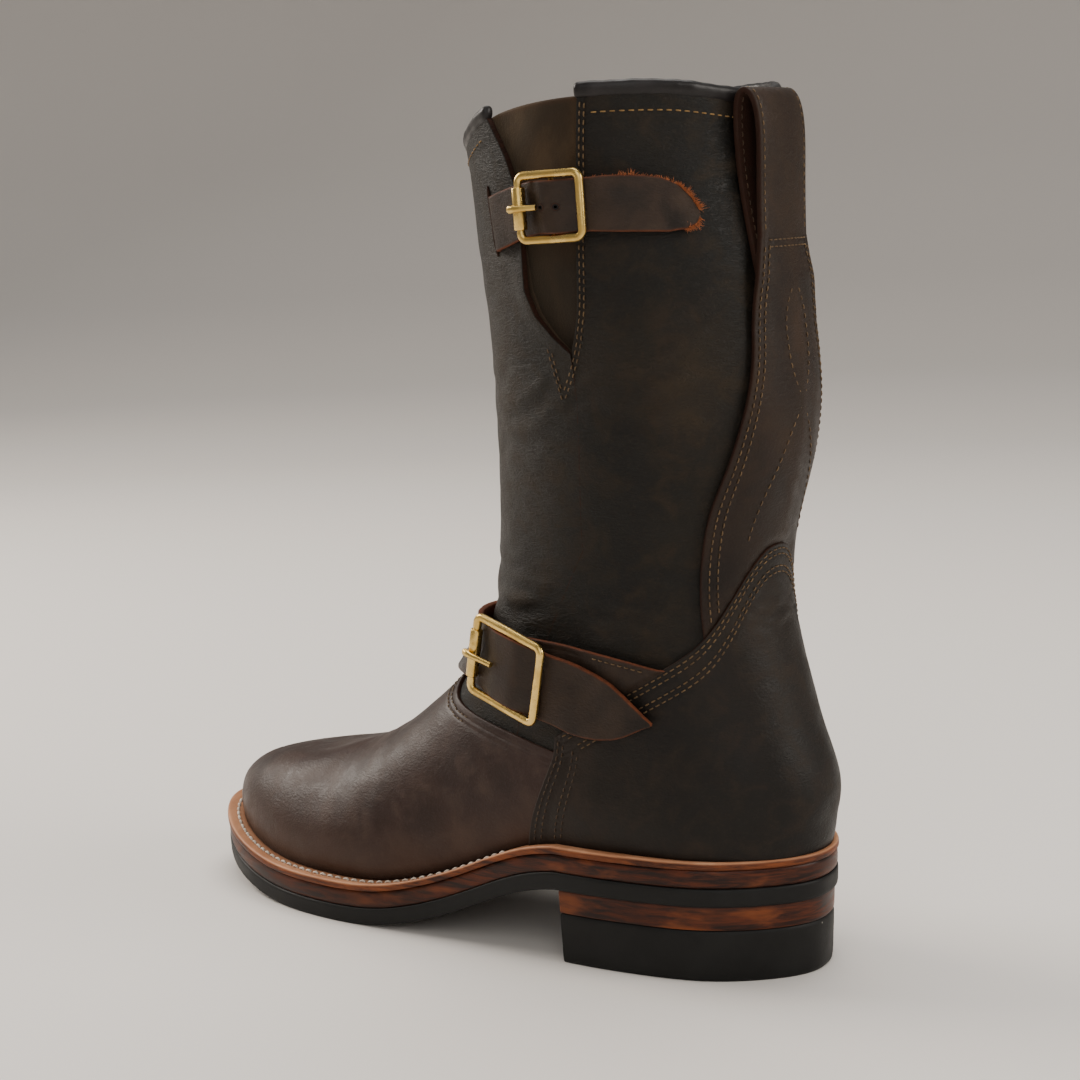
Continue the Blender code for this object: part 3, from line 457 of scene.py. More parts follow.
def plan_share(x, y, swell):
    """0 on the mid line and 1 on the feather line, grown outwards by swell"""
    is_lateral = x >= 0
    side = np.abs(x)
    lateral = np.interp(-y, -FEATHER_LATERAL[1], FEATHER_LATERAL[0])
    medial = np.interp(-y, -FEATHER_MEDIAL[1], -FEATHER_MEDIAL[0])
    share = side / np.maximum(np.where(is_lateral, lateral, medial) + swell, 1e-6)
    for centre, sign in ((BALL_CENTRE, -1), (HEEL_CENTRE, 1)):
        past = sign * (y - centre)
        reach = polar_reach(np.arctan2(side, past), is_lateral, centre, sign)
        share = np.where(past > 0, np.hypot(side, past) / (reach + swell), share)
    return share


def foot_field(x, y, z):
    low = feather_height(y)
    climb = np.clip((z - low) / BULGE_HEIGHT, 0, 1)
    swell = SIDE_BULGE * (1 - (1 - climb) ** 2)
    across = plan_share(x, y, swell)
    upward = np.clip((z - low) / (foot_top(y) - low), 0, None)
    past = np.clip(BALL_CENTRE - y, 0, None)
    towards_toe = past ** 2 / (past ** 2 + x * x + 1e-6)
    crown = foot_crown(y)
    fullness = crown + (TOE_FULLNESS - crown) * towards_toe
    return 42.0 * ((across ** fullness + upward ** crown + 1e-12) ** (1 / 2.3) - 1)


def shaft_ring(z):
    """Middle, half length and half widths of the shaft at a height"""
    back = SHAFT_AT["back"](z)
    front = SHAFT_AT["front"](z)
    return (back + front) / 2, (back - front) / 2, SHAFT_AT["lateral"](z), SHAFT_AT["medial"](z)


def shaft_field(x, y, z):
    middle, half_length, lateral, medial = shaft_ring(z)
    across = np.abs(x) / np.where(x >= 0, lateral, medial)
    along = np.abs(y - middle) / half_length
    power = SHAFT_ROUNDNESS
    return 46.0 * ((across ** power + along ** power + 1e-12) ** (1 / power) - 1)


def last_field(x, y, z):
    """Foot and shaft joined with a wide blend at the instep and a small one at the heel"""
    foot = foot_field(x, y, z)
    shaft = shaft_field(x, y, z)
    instep = soft_step(*INSTEP_RISE, z) * soft_step(*INSTEP_REACH, -y)
    blend = LOW_BLEND + (INSTEP_BLEND - LOW_BLEND) * instep
    mix = np.clip(0.5 + 0.5 * (shaft - foot) / blend, 0, 1)
    return shaft + (foot - shaft) * mix - blend * mix * (1 - mix)


def last_slope(x, y, z, step=0.05):
    slope_x = last_field(x + step, y, z) - last_field(x - step, y, z)
    slope_y = last_field(x, y + step, z) - last_field(x, y - step, z)
    slope_z = last_field(x, y, z + step) - last_field(x, y, z - step)
    return slope_x / (2 * step), slope_y / (2 * step), slope_z / (2 * step)


def settle(x, y, z, level):
    """Move points onto the last; those marked level keep their height"""
    for _ in range(12):
        depth = last_field(x, y, z)
        slope_x, slope_y, slope_z = last_slope(x, y, z)
        slope_z = np.where(level, 0, slope_z)
        size = slope_x ** 2 + slope_y ** 2 + slope_z ** 2 + 1e-9
        step = np.clip(depth / size, -8, 8)
        x = x - slope_x * step
        y = y - slope_y * step
        z = z - slope_z * step
    return x, y, z


def lifted(points, lift):
    """Points on the last moved outwards along its normal"""
    x, y, z = points
    slope = np.stack(last_slope(x, y, z), -1)
    normal = slope / np.linalg.norm(slope, axis=-1, keepdims=True)
    return np.stack(points, -1) + normal * np.asarray(lift, float)[..., None]


def cast(origin, direction):
    """Where rays from inside the shaft first leave the last"""
    near = np.zeros_like(origin[0])
    far = near + 160.0
    for _ in range(34):
        middle = (near + far) / 2
        inside = last_field(*(o + d * middle for o, d in zip(origin, direction))) < 0
        near = np.where(inside, middle, near)
        far = np.where(inside, far, middle)
    return tuple(o + d * near for o, d in zip(origin, direction))


def wall_point(turn, z):
    """The upper's outer face at a turn and a height"""
    turn, z = np.broadcast_arrays(np.radians(np.asarray(turn, float)), np.asarray(z, float))
    middle, half_length, lateral, medial = shaft_ring(z)
    way_x = np.sin(turn) * np.where(np.sin(turn) >= 0, lateral, medial)
    way_y = np.cos(turn) * half_length
    size = np.hypot(way_x, way_y)
    return cast((0 * z, middle + 0 * z, z), (way_x / size, way_y / size, 0 * z))


def back_point(x, z):
    """The upper's outer face straight behind a point on the shaft's middle plane"""
    x, z = np.broadcast_arrays(np.asarray(x, float), np.asarray(z, float))
    middle = shaft_ring(z)[0]
    return cast((x, middle, z), (0 * x, 0 * x + 1, 0 * x))


def turn_of(x, y, z):
    middle, half_length, lateral, medial = shaft_ring(z)
    width = np.where(x >= 0, lateral, medial)
    return np.degrees(np.arctan2(x / width, (y - middle) / half_length))


collar_shape = spline([(1 - math.cos(math.radians(row[0]))) / 2 for row in COLLAR],
                      column(COLLAR_COLUMNS, COLLAR, "height"))


def collar_height(turn):
    return collar_shape((1 - np.cos(np.radians(turn))) / 2)


def wall_top(turn):
    return collar_height(turn) - BINDING_HEIGHT


def feather_phase(turn):
    """Sole outline phase below a turn, closer together round the toe"""
    turn = np.mod(np.asarray(turn, float), 360.0)
    share = ((1 - np.cos(np.radians(turn))) / 2) ** 1.15
    phase = np.arccos(np.clip(1 - 2 * share, -1, 1))
    return np.where(turn <= 180, phase, 2 * math.pi - phase)


def upper_face(turn, level):
    """Outer face of the upper: level 0 feather line, 1 ankle ring, 2 top of the wall"""
    turn, level = np.broadcast_arrays(np.asarray(turn, float), np.asarray(level, float))
    phase = feather_phase(turn)
    foot_x, foot_y = sole_edge(phase, ledge(phase))
    foot_z = feather_height(foot_y)
    high = level > 1
    ring_z = RING_HEIGHT + np.where(high, level - 1, 0) * (wall_top(turn) - RING_HEIGHT)
    middle, half_length, lateral, medial = shaft_ring(ring_z)
    angle = np.radians(turn)
    ring_x = np.sin(angle) * np.where(np.sin(angle) >= 0, lateral, medial)
    ring_y = middle + half_length * np.cos(angle)
    knee_x = foot_x + 0.25 * (ring_x - foot_x)
    knee_y = foot_y + 0.25 * (ring_y - foot_y)
    knee_z = foot_z + 0.5 * (ring_z - foot_z)
    way = np.clip(level, 0, 1)
    first, second, third = (1 - way) ** 2, 2 * way * (1 - way), way * way
    x = first * foot_x + second * knee_x + third * ring_x
    y = first * foot_y + second * knee_y + third * ring_y
    z = first * foot_z + second * knee_z + third * ring_z
    return settle(x, y, z, (level <= 0) | (level >= 1))


# Straps and buckles on the upper

def buckle_level(which):
    """Height of a buckle's middle"""
    buckle = BUCKLES[which]
    reference = collar_height(buckle["turn"]) if which == "top" else RING_HEIGHT
    return float(reference) - buckle["drop"]


def upper_axes(turn, z):
    """Rearward, upward and outward directions on the upper, and its length per degree"""
    ahead = np.array([float(v) for v in wall_point(turn + 0.5, z)])
    behind = np.array([float(v) for v in wall_point(turn - 0.5, z)])
    point = wall_point(turn, z)
    out = np.array([float(v) for v in last_slope(*point)])
    out = out / np.linalg.norm(out)
    reach = float(np.linalg.norm(behind - ahead))
    back = behind - ahead - out * out.dot(behind - ahead)
    back = back / np.linalg.norm(back)
    return np.array([back, np.cross(out, back), out]), reach


def strap_half_width(which):
    """Half width of the strap that a buckle's frame takes in"""
    buckle = BUCKLES[which]
    return buckle["height"] / 2 - 2 * BUCKLE_WIRE - buckle["room"]


def strap_line(rows, which, steps):
    """Turn, height, half width, lift and tilt along a strap"""
    buckle = BUCKLES[which]
    level = buckle_level(which)
    degrees = buckle["length"] / upper_axes(buckle["turn"], level)[1]
    turns = buckle["turn"] + degrees * np.array(column(STRAP_COLUMNS, rows, "at"))
    turn = np.interp(np.linspace(0, len(rows) - 1, steps), range(len(rows)), turns)
    height = level + spline(turns, column(STRAP_COLUMNS, rows, "height"))(turn)
    half, lift, tilt = (np.interp(turn, turns, column(STRAP_COLUMNS, rows, name))
                        for name in ("half", "lift", "tilt"))
    return turn, height, half * strap_half_width(which), lift, tilt


def buckle_place(which, rows):
    """A buckle's own axes (along, across, out) and its middle, over its strap's middle line"""
    buckle = BUCKLES[which]
    level = buckle_level(which)
    axes, _ = upper_axes(buckle["turn"], level)
    along = np.array(buckle["along"]) @ axes
    along = along / np.linalg.norm(along)
    across = np.array(buckle["across"]) @ axes
    across = across - along * along.dot(across)
    across = across / np.linalg.norm(across)
    places, lifts = (column(STRAP_COLUMNS, rows, name) for name in ("at", "lift"))
    stand = np.interp(0.0, places, lifts) + BAR_DROP - BAR_WIRE - buckle["bar_room"]
    middle = lifted(wall_point(buckle["turn"], level), np.array(stand))
    return np.array([along, across, np.cross(along, across)]), middle


# The V's edges and the stay's outline

vee_rear = steady(VEE_COLUMNS, VEE, "rear")
vee_front = steady(VEE_COLUMNS, VEE, "front")
stay_half = curve(STAY_COLUMNS, STAY, "half")
stay_lift = steady(STAY_COLUMNS, STAY, "lift")


# Pieces in the frame

def place_shift():
    """From last axes to the frame's, read from the welt's box"""
    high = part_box("welt")[1]
    phases = np.linspace(0, 2 * math.pi, LOOP_STATIONS, endpoint=False)
    edge_x, edge_y = sole_edge(phases)
    return np.array([high[0] / MM - edge_x.max(), high[1] / MM - edge_y.max(), 0.0])


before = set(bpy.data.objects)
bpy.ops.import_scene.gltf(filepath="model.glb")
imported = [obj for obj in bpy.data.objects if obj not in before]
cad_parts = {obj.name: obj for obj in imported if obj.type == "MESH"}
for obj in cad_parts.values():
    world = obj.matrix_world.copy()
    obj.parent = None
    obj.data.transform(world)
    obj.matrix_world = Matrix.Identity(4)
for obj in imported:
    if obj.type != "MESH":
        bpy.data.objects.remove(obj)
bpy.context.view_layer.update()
SHIFT = place_shift()


def quads(rows, columns, wrap=False, start=0, caps=False):
    """Faces of a grid; wrap joins its last column to the first, caps close both end rows"""
    i = np.arange(rows - 1)[:, None]
    j = np.arange(columns if wrap else columns - 1)[None, :]
    k = (j + 1) % columns
    corners = [i * columns + j, (i + 1) * columns + j, (i + 1) * columns + k, i * columns + k]
    faces = (np.stack(np.broadcast_arrays(*corners), -1).reshape(-1, 4) + start).tolist()
    if caps:
        faces.append(list(range(columns)))
        faces.append(list(range((rows - 1) * columns, rows * columns)))
    return faces


def piece(name, points, faces, material, tone=None, nodes=(), merge=False, closed=False):
    """A mesh in the frame that rides on the boot"""
    mesh = bpy.data.meshes.new(name)
    points = np.asarray(points, float).reshape(-1, 3)
    mesh.from_pydata(((points + SHIFT) * MM).tolist(), [], faces)
    if tone is not None:
        layer = mesh.attributes.new("tone", "FLOAT_COLOR", "POINT")
        layer.data.foreach_set("color", np.asarray(tone, np.float32).reshape(-1))
    if merge or closed:
        work = bmesh.new()
        work.from_mesh(mesh)
        if merge:
            bmesh.ops.remove_doubles(work, verts=work.verts, dist=2e-6)
        if closed:
            bmesh.ops.recalc_face_normals(work, faces=work.faces)
        work.to_mesh(mesh)
        work.free()
    mesh.shade_smooth()
    made = bpy.data.objects.new(name, mesh)
    made.data.materials.append(material)
    bpy.context.scene.collection.objects.link(made)
    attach(made, "root")
    if nodes:
        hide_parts(*nodes)
    return made


def unit(vectors):
    return vectors / np.linalg.norm(vectors, axis=-1, keepdims=True)


def normals_at(face):
    return unit(np.stack(last_slope(*face), -1))


def ring_angles(count):
    return 2 * math.pi * np.arange(count) / count


def run_length(points, axis, from_end=False):
    """Distance along a grid's lines from their first or last point"""
    points = np.asarray(points)
    steps = np.linalg.norm(np.diff(points, axis=axis), axis=-1)
    total = np.cumsum(steps, axis=axis)
    zero = np.zeros_like(np.take(total, [0], axis=axis))
    total = np.concatenate([zero, total], axis=axis)
    if from_end:
        total = np.take(total, [-1], axis=axis) - total
    return total


def groove(distance, rows, depth=0.28, width=0.55):
    """Hollows that stitch rows pull into the leather"""
    sunk = 0.0
    for row in rows:
        sunk = sunk + depth * np.exp(-((distance - row) / width) ** 2)
    return sunk


def noise3(x, y, z, size, seed):
    """Smooth seeded noise between -1 and 1, with features of about the given size"""
    rng = np.random.default_rng(seed)
    total = 0.0
    for _ in range(9):
        way = rng.normal(size=3)
        way = way / np.linalg.norm(way) * rng.uniform(0.7, 1.5) * 2 * math.pi / size
        shift = rng.uniform(0, 2 * math.pi)
        bend = np.sin(way[1] * x * 0.6 + way[2] * y * 0.5 + way[0] * z * 0.7 + shift * 3)
        total = total + np.sin(way[0] * x + way[1] * y + way[2] * z + shift + 1.3 * bend)
    return total / 4.5


def tone_of(shape, raw=0.0, light=0.0, warm=0.0, dark=0.0):
    """Vertex tones: raw edge, lighter tone (wear and painted sheen), warm tint, darker tone
    (mostly painted shade)
    """
    parts = [np.broadcast_to(np.asarray(v, float), shape) for v in (raw, light, warm, dark)]
    return np.clip(np.stack(parts, -1), 0, 1)


HEM_DIP = 0.12
HEM_TONE = 0.5
HEM_DROP = 0.45
HEM_MORE = 0.4


def sheet(name, face, height, material, hems, thickness, tone, nodes=()):
    """Open sheet over the last; its hemmed sides turn down over the leather's cut edge"""
    points = np.stack(face, -1)
    normal = normals_at(face)
    height = np.array(height + 0 * face[0])
    tone = np.array(tone)
    sides = {"top": (np.s_[-1:], 0), "first": (np.s_[:, :1], 1), "last": (np.s_[:, -1:], 1)}
    for side, (pick, axis) in sides.items():
        if side in hems:
            height[pick] -= HEM_DIP
            tone[..., 0][pick] = HEM_TONE
    for side in hems:
        pick, axis = sides[side]
        for drop in (HEM_DROP, thickness + HEM_MORE):
            extra = height[pick] - min(drop, thickness)
            edge_tone = tone[pick].copy()
            edge_tone[..., 0] = 1.0
            parts = {}
            for key, grid, line in (("points", points, points[pick]),
                                    ("normal", normal, normal[pick]),
                                    ("height", height, extra), ("tone", tone, edge_tone)):
                order = (line, grid) if side == "first" else (grid, line)
                parts[key] = np.concatenate(order, axis=axis)
            points, normal = parts["points"], parts["normal"]
            height, tone = parts["height"], parts["tone"]
    made = points + normal * height[..., None]
    rows, columns = made.shape[:2]
    faces = quads(rows, columns)
    i, j = rows // 2, columns // 2
    across = np.cross(made[i + 1, j] - made[i, j], made[i, j + 1] - made[i, j])
    if np.dot(across, normal[i, j]) < 0:
        faces = [f[::-1] for f in faces]
    return piece(name, made, faces, material, tone, nodes)


# Distances from an edge at which sheets have lines of points
NEAR = np.array([0.0, 0.3, 0.7, 1.2, 1.7, 2.2, 2.7, 3.2, 3.8, 4.4, 5.0, 5.7, 6.5])


def spaced(total, step):
    """Places from 0 to total, closer together near both ends"""
    end = total - NEAR[::-1]
    count = max(2, int(round((end[0] - NEAR[-1]) / step)))
    return np.concatenate([NEAR, np.linspace(NEAR[-1], end[0], count + 1)[1:-1], end])


# Stitches: places along one thread, its rise and size there, and points round it

STITCHES = {}
STITCH_SHARES = np.array([0.0, 0.16, 0.5, 0.84, 1.0])
STITCH_RISES = np.array([-0.40, 0.06, 0.18, 0.06, -0.40])
STITCH_SIZES = np.array([0.45, 0.9, 1.0, 0.9, 0.45])
STITCH_RADIUS = 0.24
STITCH_WIDE = 1.15
STITCH_TALL = 0.85
STITCH_SIDES = 6
STITCH_POINTS = len(STITCH_SHARES) * STITCH_SIDES


def stitch_row(kind, path, normal, length=1.9, gap=0.9, radius=STITCH_RADIUS, lift=0.08):
    """Threads laid along a path; each one dips into the leather at both ends"""
    path = np.asarray(path, float)
    normal = np.asarray(normal, float)
    at = run_length(path, 0)
    pitch = length + gap
    count = int((at[-1] - gap) / pitch)
    if count < 1:
        return
    start = (at[-1] - count * pitch + gap) / 2 + pitch * np.arange(count)
    places = start[:, None] + length * STITCH_SHARES
    centre = np.stack([np.interp(places, at, path[:, k]) for k in range(3)], -1)
    out = np.stack([np.interp(places, at, normal[:, k]) for k in range(3)], -1)
    out = unit(out)
    along = unit(np.gradient(centre, axis=1))
    side = np.cross(along, out)
    rise = lift + STITCH_RISES * radius / STITCH_RADIUS
    size = radius * STITCH_SIZES
    angles = ring_angles(STITCH_SIDES)
    ring = (side[:, :, None] * (STITCH_WIDE * np.cos(angles))[None, None, :, None]
            + out[:, :, None] * (STITCH_TALL * np.sin(angles))[None, None, :, None])
    points = centre[:, :, None] + (out * rise[None, :, None])[:, :, None]
    points = points + ring * size[None, :, None, None]
    STITCHES.setdefault(kind, []).append(points.reshape(-1, STITCH_POINTS, 3))


def repeated(faces, count, points):
    """One form's faces for a number of copies that follow each other"""
    return [[i + points * k for i in face] for k in range(count) for face in faces]


def make_stitches(kind, material):
    parts = np.concatenate(STITCHES[kind])
    one = quads(len(STITCH_SHARES), STITCH_SIDES, wrap=True, caps=True)
    one[-1] = one[-1][::-1]
    piece(f"stitches_{kind}", parts, repeated(one, len(parts), STITCH_POINTS), material)


def face_row(kind, face, height, **sizes):
    """A stitch row along points on the last, lifted to the leather's surface"""
    normal = normals_at(face)
    path = np.stack(face, -1) + normal * np.asarray(height + 0 * face[0])[..., None]
    stitch_row(kind, path, normal, **sizes)


# Materials

def shader_of(name, roughness, metallic=0.0, coat=0.0, coat_roughness=0.3, specular=0.5):
    material = bpy.data.materials.new(name)
    material.use_nodes = True
    shader = material.node_tree.nodes["Principled BSDF"]
    shader.inputs["Roughness"].default_value = roughness
    shader.inputs["Metallic"].default_value = metallic
    shader.inputs["Coat Weight"].default_value = coat
    shader.inputs["Coat Roughness"].default_value = coat_roughness
    shader.inputs["Specular IOR Level"].default_value = specular
    return material, material.node_tree, shader


def add(tree, kind, inputs=None, **settings):
    made = tree.nodes.new(kind)
    for key, value in settings.items():
        setattr(made, key, value)
    for key, value in (inputs or {}).items():
        if isinstance(value, bpy.types.NodeSocket):
            tree.links.new(value, made.inputs[key])
        else:
            made.inputs[key].default_value = value
    return made


def noise(tree, where, scale, detail=4.0, rough=0.55, twist=0.0):
    inputs = {"Vector": where, "Scale": scale, "Detail": detail, "Roughness": rough,
              "Distortion": twist}
    return add(tree, "ShaderNodeTexNoise", inputs).outputs["Fac"]


def span(tree, value, low, high, to_low=0.0, to_high=1.0):
    inputs = {"Value": value, "From Min": low, "From Max": high, "To Min": to_low,
              "To Max": to_high}
    made = add(tree, "ShaderNodeMapRange", inputs, interpolation_type="SMOOTHSTEP")
    return made.outputs["Result"]


def mix(tree, share, first, second):
    made = add(tree, "ShaderNodeMix", data_type="RGBA", blend_type="MIX")
    for socket, value in ((made.inputs[0], share), (made.inputs[6], first),
                          (made.inputs[7], second)):
        if isinstance(value, bpy.types.NodeSocket):
            tree.links.new(value, socket)
        elif isinstance(value, tuple):
            socket.default_value = (*value, 1.0)
        else:
            socket.default_value = value
    return made.outputs[2]


def times(tree, first, second):
    return add(tree, "ShaderNodeMath", {0: first, 1: second}, operation="MULTIPLY").outputs[0]


def times_add(tree, first, second, third):
    inputs = {0: first, 1: second, 2: third}
    return add(tree, "ShaderNodeMath", inputs, operation="MULTIPLY_ADD").outputs[0]


def bump(tree, height, strength, distance, before=None):
    inputs = {"Height": height, "Strength": strength, "Distance": distance}
    if before is not None:
        inputs["Normal"] = before
    return add(tree, "ShaderNodeBump", inputs).outputs[0]


def finish_shader(tree, shader, colour, normal):
    tree.links.new(colour, shader.inputs["Base Color"])
    tree.links.new(normal, shader.inputs["Normal"])


def where_of(tree, stretch=(1.0, 1.0, 1.0)):
    coords = add(tree, "ShaderNodeTexCoord").outputs["Object"]
    if stretch == (1.0, 1.0, 1.0):
        return coords
    return add(tree, "ShaderNodeMapping", {"Vector": coords, "Scale": stretch}).outputs[0]


def tones(tree):
    layer = add(tree, "ShaderNodeAttribute", attribute_name="tone")
    apart = add(tree, "ShaderNodeSeparateColor", {0: layer.outputs["Color"]})
    return apart.outputs[0], apart.outputs[1], apart.outputs[2], layer.outputs["Alpha"]


def leather(name, dark, mid, light, warm, raw, roughness=0.50, coat=0.03, wrinkle=0.5,
            pebble=0.5):
    """Waxed pull-up leather: blotches, wear on ridges, painted sheen and painted shade from the
    vertex tones, fine pebble and faint wrinkles
    """
    material, tree, shader = shader_of(name, roughness, coat=coat, coat_roughness=0.38,
                                       specular=0.20)
    where = where_of(tree)
    large = noise(tree, where, 17.0, 3.0, 0.5, 0.4)
    small = noise(tree, where, 95.0, 5.0, 0.62, 0.6)
    fine = noise(tree, where, 900.0, 3.0, 0.6)
    lines = noise(tree, where_of(tree, (1.0, 1.0, 3.2)), 190.0, 4.0, 0.62, 2.2)
    raw_tone, light_tone, warm_tone, dark_tone = tones(tree)
    colour = mix(tree, span(tree, large, 0.36, 0.66), dark, mid)
    colour = mix(tree, span(tree, warm_tone, 0.0, 1.0), colour, warm)
    patch = times(tree, span(tree, small, 0.44, 0.72), 0.40)
    colour = mix(tree, patch, colour, light)
    # wear and painted sheen: the lighter tone lightens worn places and paints highlights
    wear_and_sheen = times(tree, light_tone, times_add(tree, small, 0.7, 0.65))
    colour = mix(tree, wear_and_sheen, colour, light)
    ridges = times(tree, light_tone, span(tree, lines, 0.50, 0.64, 0.0, 0.55))
    colour = mix(tree, ridges, colour, light)
    speck = times(tree, span(tree, fine, 0.50, 0.75), 0.22)
    colour = mix(tree, speck, colour, light)
    # painted shade: the darker tone darkens grooves, creases and the leather under other parts
    shade = times(tree, dark_tone, 0.75)
    colour = mix(tree, shade, colour, (0.002, 0.0015, 0.0015))
    rough_raw = times(tree, raw_tone, span(tree, noise(tree, where, 420.0), 0.30, 0.62, 0.55, 1.0))
    colour = mix(tree, rough_raw, colour, raw)
    gloss = span(tree, small, 0.30, 0.70, roughness - 0.07, roughness + 0.10)
    tree.links.new(times_add(tree, raw_tone, 0.35, gloss), shader.inputs["Roughness"])
    cells = add(tree, "ShaderNodeTexVoronoi", {"Vector": where, "Scale": 1150.0},
                feature="SMOOTH_F1").outputs["Distance"]
    grain = bump(tree, cells, 0.42 * pebble, 0.0004)
    soft = times(tree, span(tree, lines, 0.38, 0.62), span(tree, light_tone, 0.0, 0.5, 0.45, 1.6))
    finish_shader(tree, shader, colour, bump(tree, soft, 0.60 * wrinkle, 0.0011, grain))
    tree.links.new(grain, shader.inputs["Coat Normal"])
    return material


def napped(name, dark, light):
    """Flesh side of leather: matt, blotched, with short fibres"""
    material, tree, shader = shader_of(name, 0.85, specular=0.2)
    shader.inputs["Sheen Weight"].default_value = 0.35
    shader.inputs["Sheen Roughness"].default_value = 0.5
    shader.inputs["Sheen Tint"].default_value = (0.75, 0.62, 0.45, 1.0)
    where = where_of(tree)
    broad = noise(tree, where_of(tree, (1.0, 1.0, 0.5)), 34.0, 4.0, 0.6, 0.8)
    fibre = noise(tree, where, 1300.0, 4.0, 0.7)
    colour = mix(tree, span(tree, broad, 0.35, 0.68), dark, light)
    colour = mix(tree, times(tree, fibre, 0.45), colour, dark)
    raw_tone, _, _, dark_tone = tones(tree)
    colour = mix(tree, raw_tone, colour, (0.10, 0.035, 0.015))
    # painted shade from the darker tone
    colour = mix(tree, dark_tone, colour, (0.0075, 0.0048, 0.0028))
    finish_shader(tree, shader, colour, bump(tree, fibre, 0.5, 0.0004))
    return material


def sole_leather(name, dark, mid, light, roughness=0.34, coat=0.25, streak=1.0):
    """Burnished leather edge with the layers' streaks running along it"""
    material, tree, shader = shader_of(name, roughness, coat=coat, coat_roughness=0.22,
                                       specular=0.22)
    where = where_of(tree)
    flat = where_of(tree, (0.10, 0.10, 1.0))
    streaks = noise(tree, flat, 620.0 * streak, 5.0, 0.68, 0.5)
    broad = noise(tree, where_of(tree, (0.3, 0.3, 1.0)), 130.0, 3.0, 0.55, 0.3)
    spots = noise(tree, where, 26.0, 3.0, 0.5)
    colour = mix(tree, span(tree, streaks, 0.34, 0.66), dark, mid)
    colour = mix(tree, times(tree, span(tree, broad, 0.50, 0.74), 0.65), colour, light)
    colour = mix(tree, times(tree, span(tree, spots, 0.44, 0.70), 0.55), colour, dark)
    raw_tone, light_tone, _, dark_tone = tones(tree)
    burnt = mix(tree, span(tree, streaks, 0.34, 0.66), (0.030, 0.0070, 0.0024),
                (0.20, 0.052, 0.0130))
    colour = mix(tree, raw_tone, colour, burnt)
    colour = mix(tree, times(tree, light_tone, 0.8), colour, light)
    # painted shade from the darker tone where sole layers meet
    colour = mix(tree, times(tree, dark_tone, 0.85), colour, (0.010, 0.004, 0.003))
    gloss = span(tree, streaks, 0.3, 0.7, roughness - 0.05, roughness + 0.14)
    tree.links.new(gloss, shader.inputs["Roughness"])
    finish_shader(tree, shader, colour, bump(tree, streaks, 0.25, 0.0004))
    return material


def rubber(name, dark, light, specks):
    """Matt black rubber with rare pale specks of dust"""
    material, tree, shader = shader_of(name, 0.55, specular=0.22)
    where = where_of(tree)
    broad = noise(tree, where, 60.0, 4.0, 0.6)
    fine = noise(tree, where, 1400.0, 3.0, 0.6)
    colour = mix(tree, span(tree, broad, 0.35, 0.7), dark, light)
    cells = add(tree, "ShaderNodeTexVoronoi", {"Vector": where, "Scale": 210.0})
    near = span(tree, cells.outputs["Distance"], 0.05, 0.09, 1.0, 0.0)
    pick = add(tree, "ShaderNodeSeparateColor", {0: cells.outputs["Color"]}).outputs[0]
    rare = span(tree, pick, 1.0 - specks, 1.0 - specks + 0.02)
    colour = mix(tree, times(tree, near, rare), colour, (0.20, 0.19, 0.17))
    # painted shade from the darker tone at the joins with other layers
    dark_tone = tones(tree)[3]
    colour = mix(tree, times(tree, dark_tone, 0.8), colour, (0.004, 0.004, 0.004))
    tree.links.new(span(tree, broad, 0.3, 0.7, 0.46, 0.62), shader.inputs["Roughness"])
    finish_shader(tree, shader, colour, bump(tree, fine, 0.18, 0.0003))
    return material


def brass(name):
    material, tree, shader = shader_of(name, 0.27, metallic=1.0)
    where = where_of(tree)
    broad = noise(tree, where, 160.0, 4.0, 0.6, 0.3)
    fine = noise(tree, where, 1500.0, 4.0, 0.7)
    colour = mix(tree, span(tree, broad, 0.36, 0.70), (0.74, 0.52, 0.17), (0.56, 0.37, 0.10))
    tree.links.new(span(tree, broad, 0.3, 0.7, 0.22, 0.36), shader.inputs["Roughness"])
    finish_shader(tree, shader, colour, bump(tree, mix(tree, 0.35, broad, fine), 0.05, 0.0004))
    return material


def thread(name, dark, light):
    material, tree, shader = shader_of(name, 0.6, specular=0.35)
    where = where_of(tree)
    twist = add(tree, "ShaderNodeTexWave", {"Vector": where, "Scale": 900.0, "Distortion": 2.0},
                bands_direction="DIAGONAL").outputs["Fac"]
    patch = noise(tree, where, 140.0, 3.0)
    colour = mix(tree, span(tree, patch, 0.35, 0.65), dark, light)
    colour = mix(tree, times(tree, twist, 0.4), colour, dark)
    finish_shader(tree, shader, colour, bump(tree, twist, 0.5, 0.0002))
    return material


SHAFT_LEATHER = leather("shaft_leather", (0.0036, 0.0031, 0.0022), (0.0072, 0.0056, 0.0036),
                        (0.034, 0.022, 0.0115), (0.020, 0.0110, 0.0062), (0.030, 0.0105, 0.0055),
                        roughness=0.54, wrinkle=0.65)
VAMP_LEATHER = leather("vamp_leather", (0.0150, 0.0078, 0.0064), (0.0250, 0.0130, 0.0105),
                       (0.060, 0.034, 0.024), (0.040, 0.0160, 0.0075), (0.045, 0.015, 0.007),
                       roughness=0.44, coat=0.06, wrinkle=0.25, pebble=0.35)
COUNTER_LEATHER = leather("counter_leather", (0.0042, 0.0034, 0.0026), (0.0080, 0.0058, 0.0042),
                          (0.030, 0.019, 0.0115), (0.024, 0.0125, 0.0072), (0.045, 0.015, 0.007),
                          wrinkle=0.3, pebble=0.4)
STAY_LEATHER = leather("stay_leather", (0.0048, 0.0032, 0.0021), (0.0092, 0.0056, 0.0036),
                       (0.038, 0.0215, 0.0120), (0.018, 0.0088, 0.0046), (0.024, 0.0085, 0.0045),
                       wrinkle=0.3)
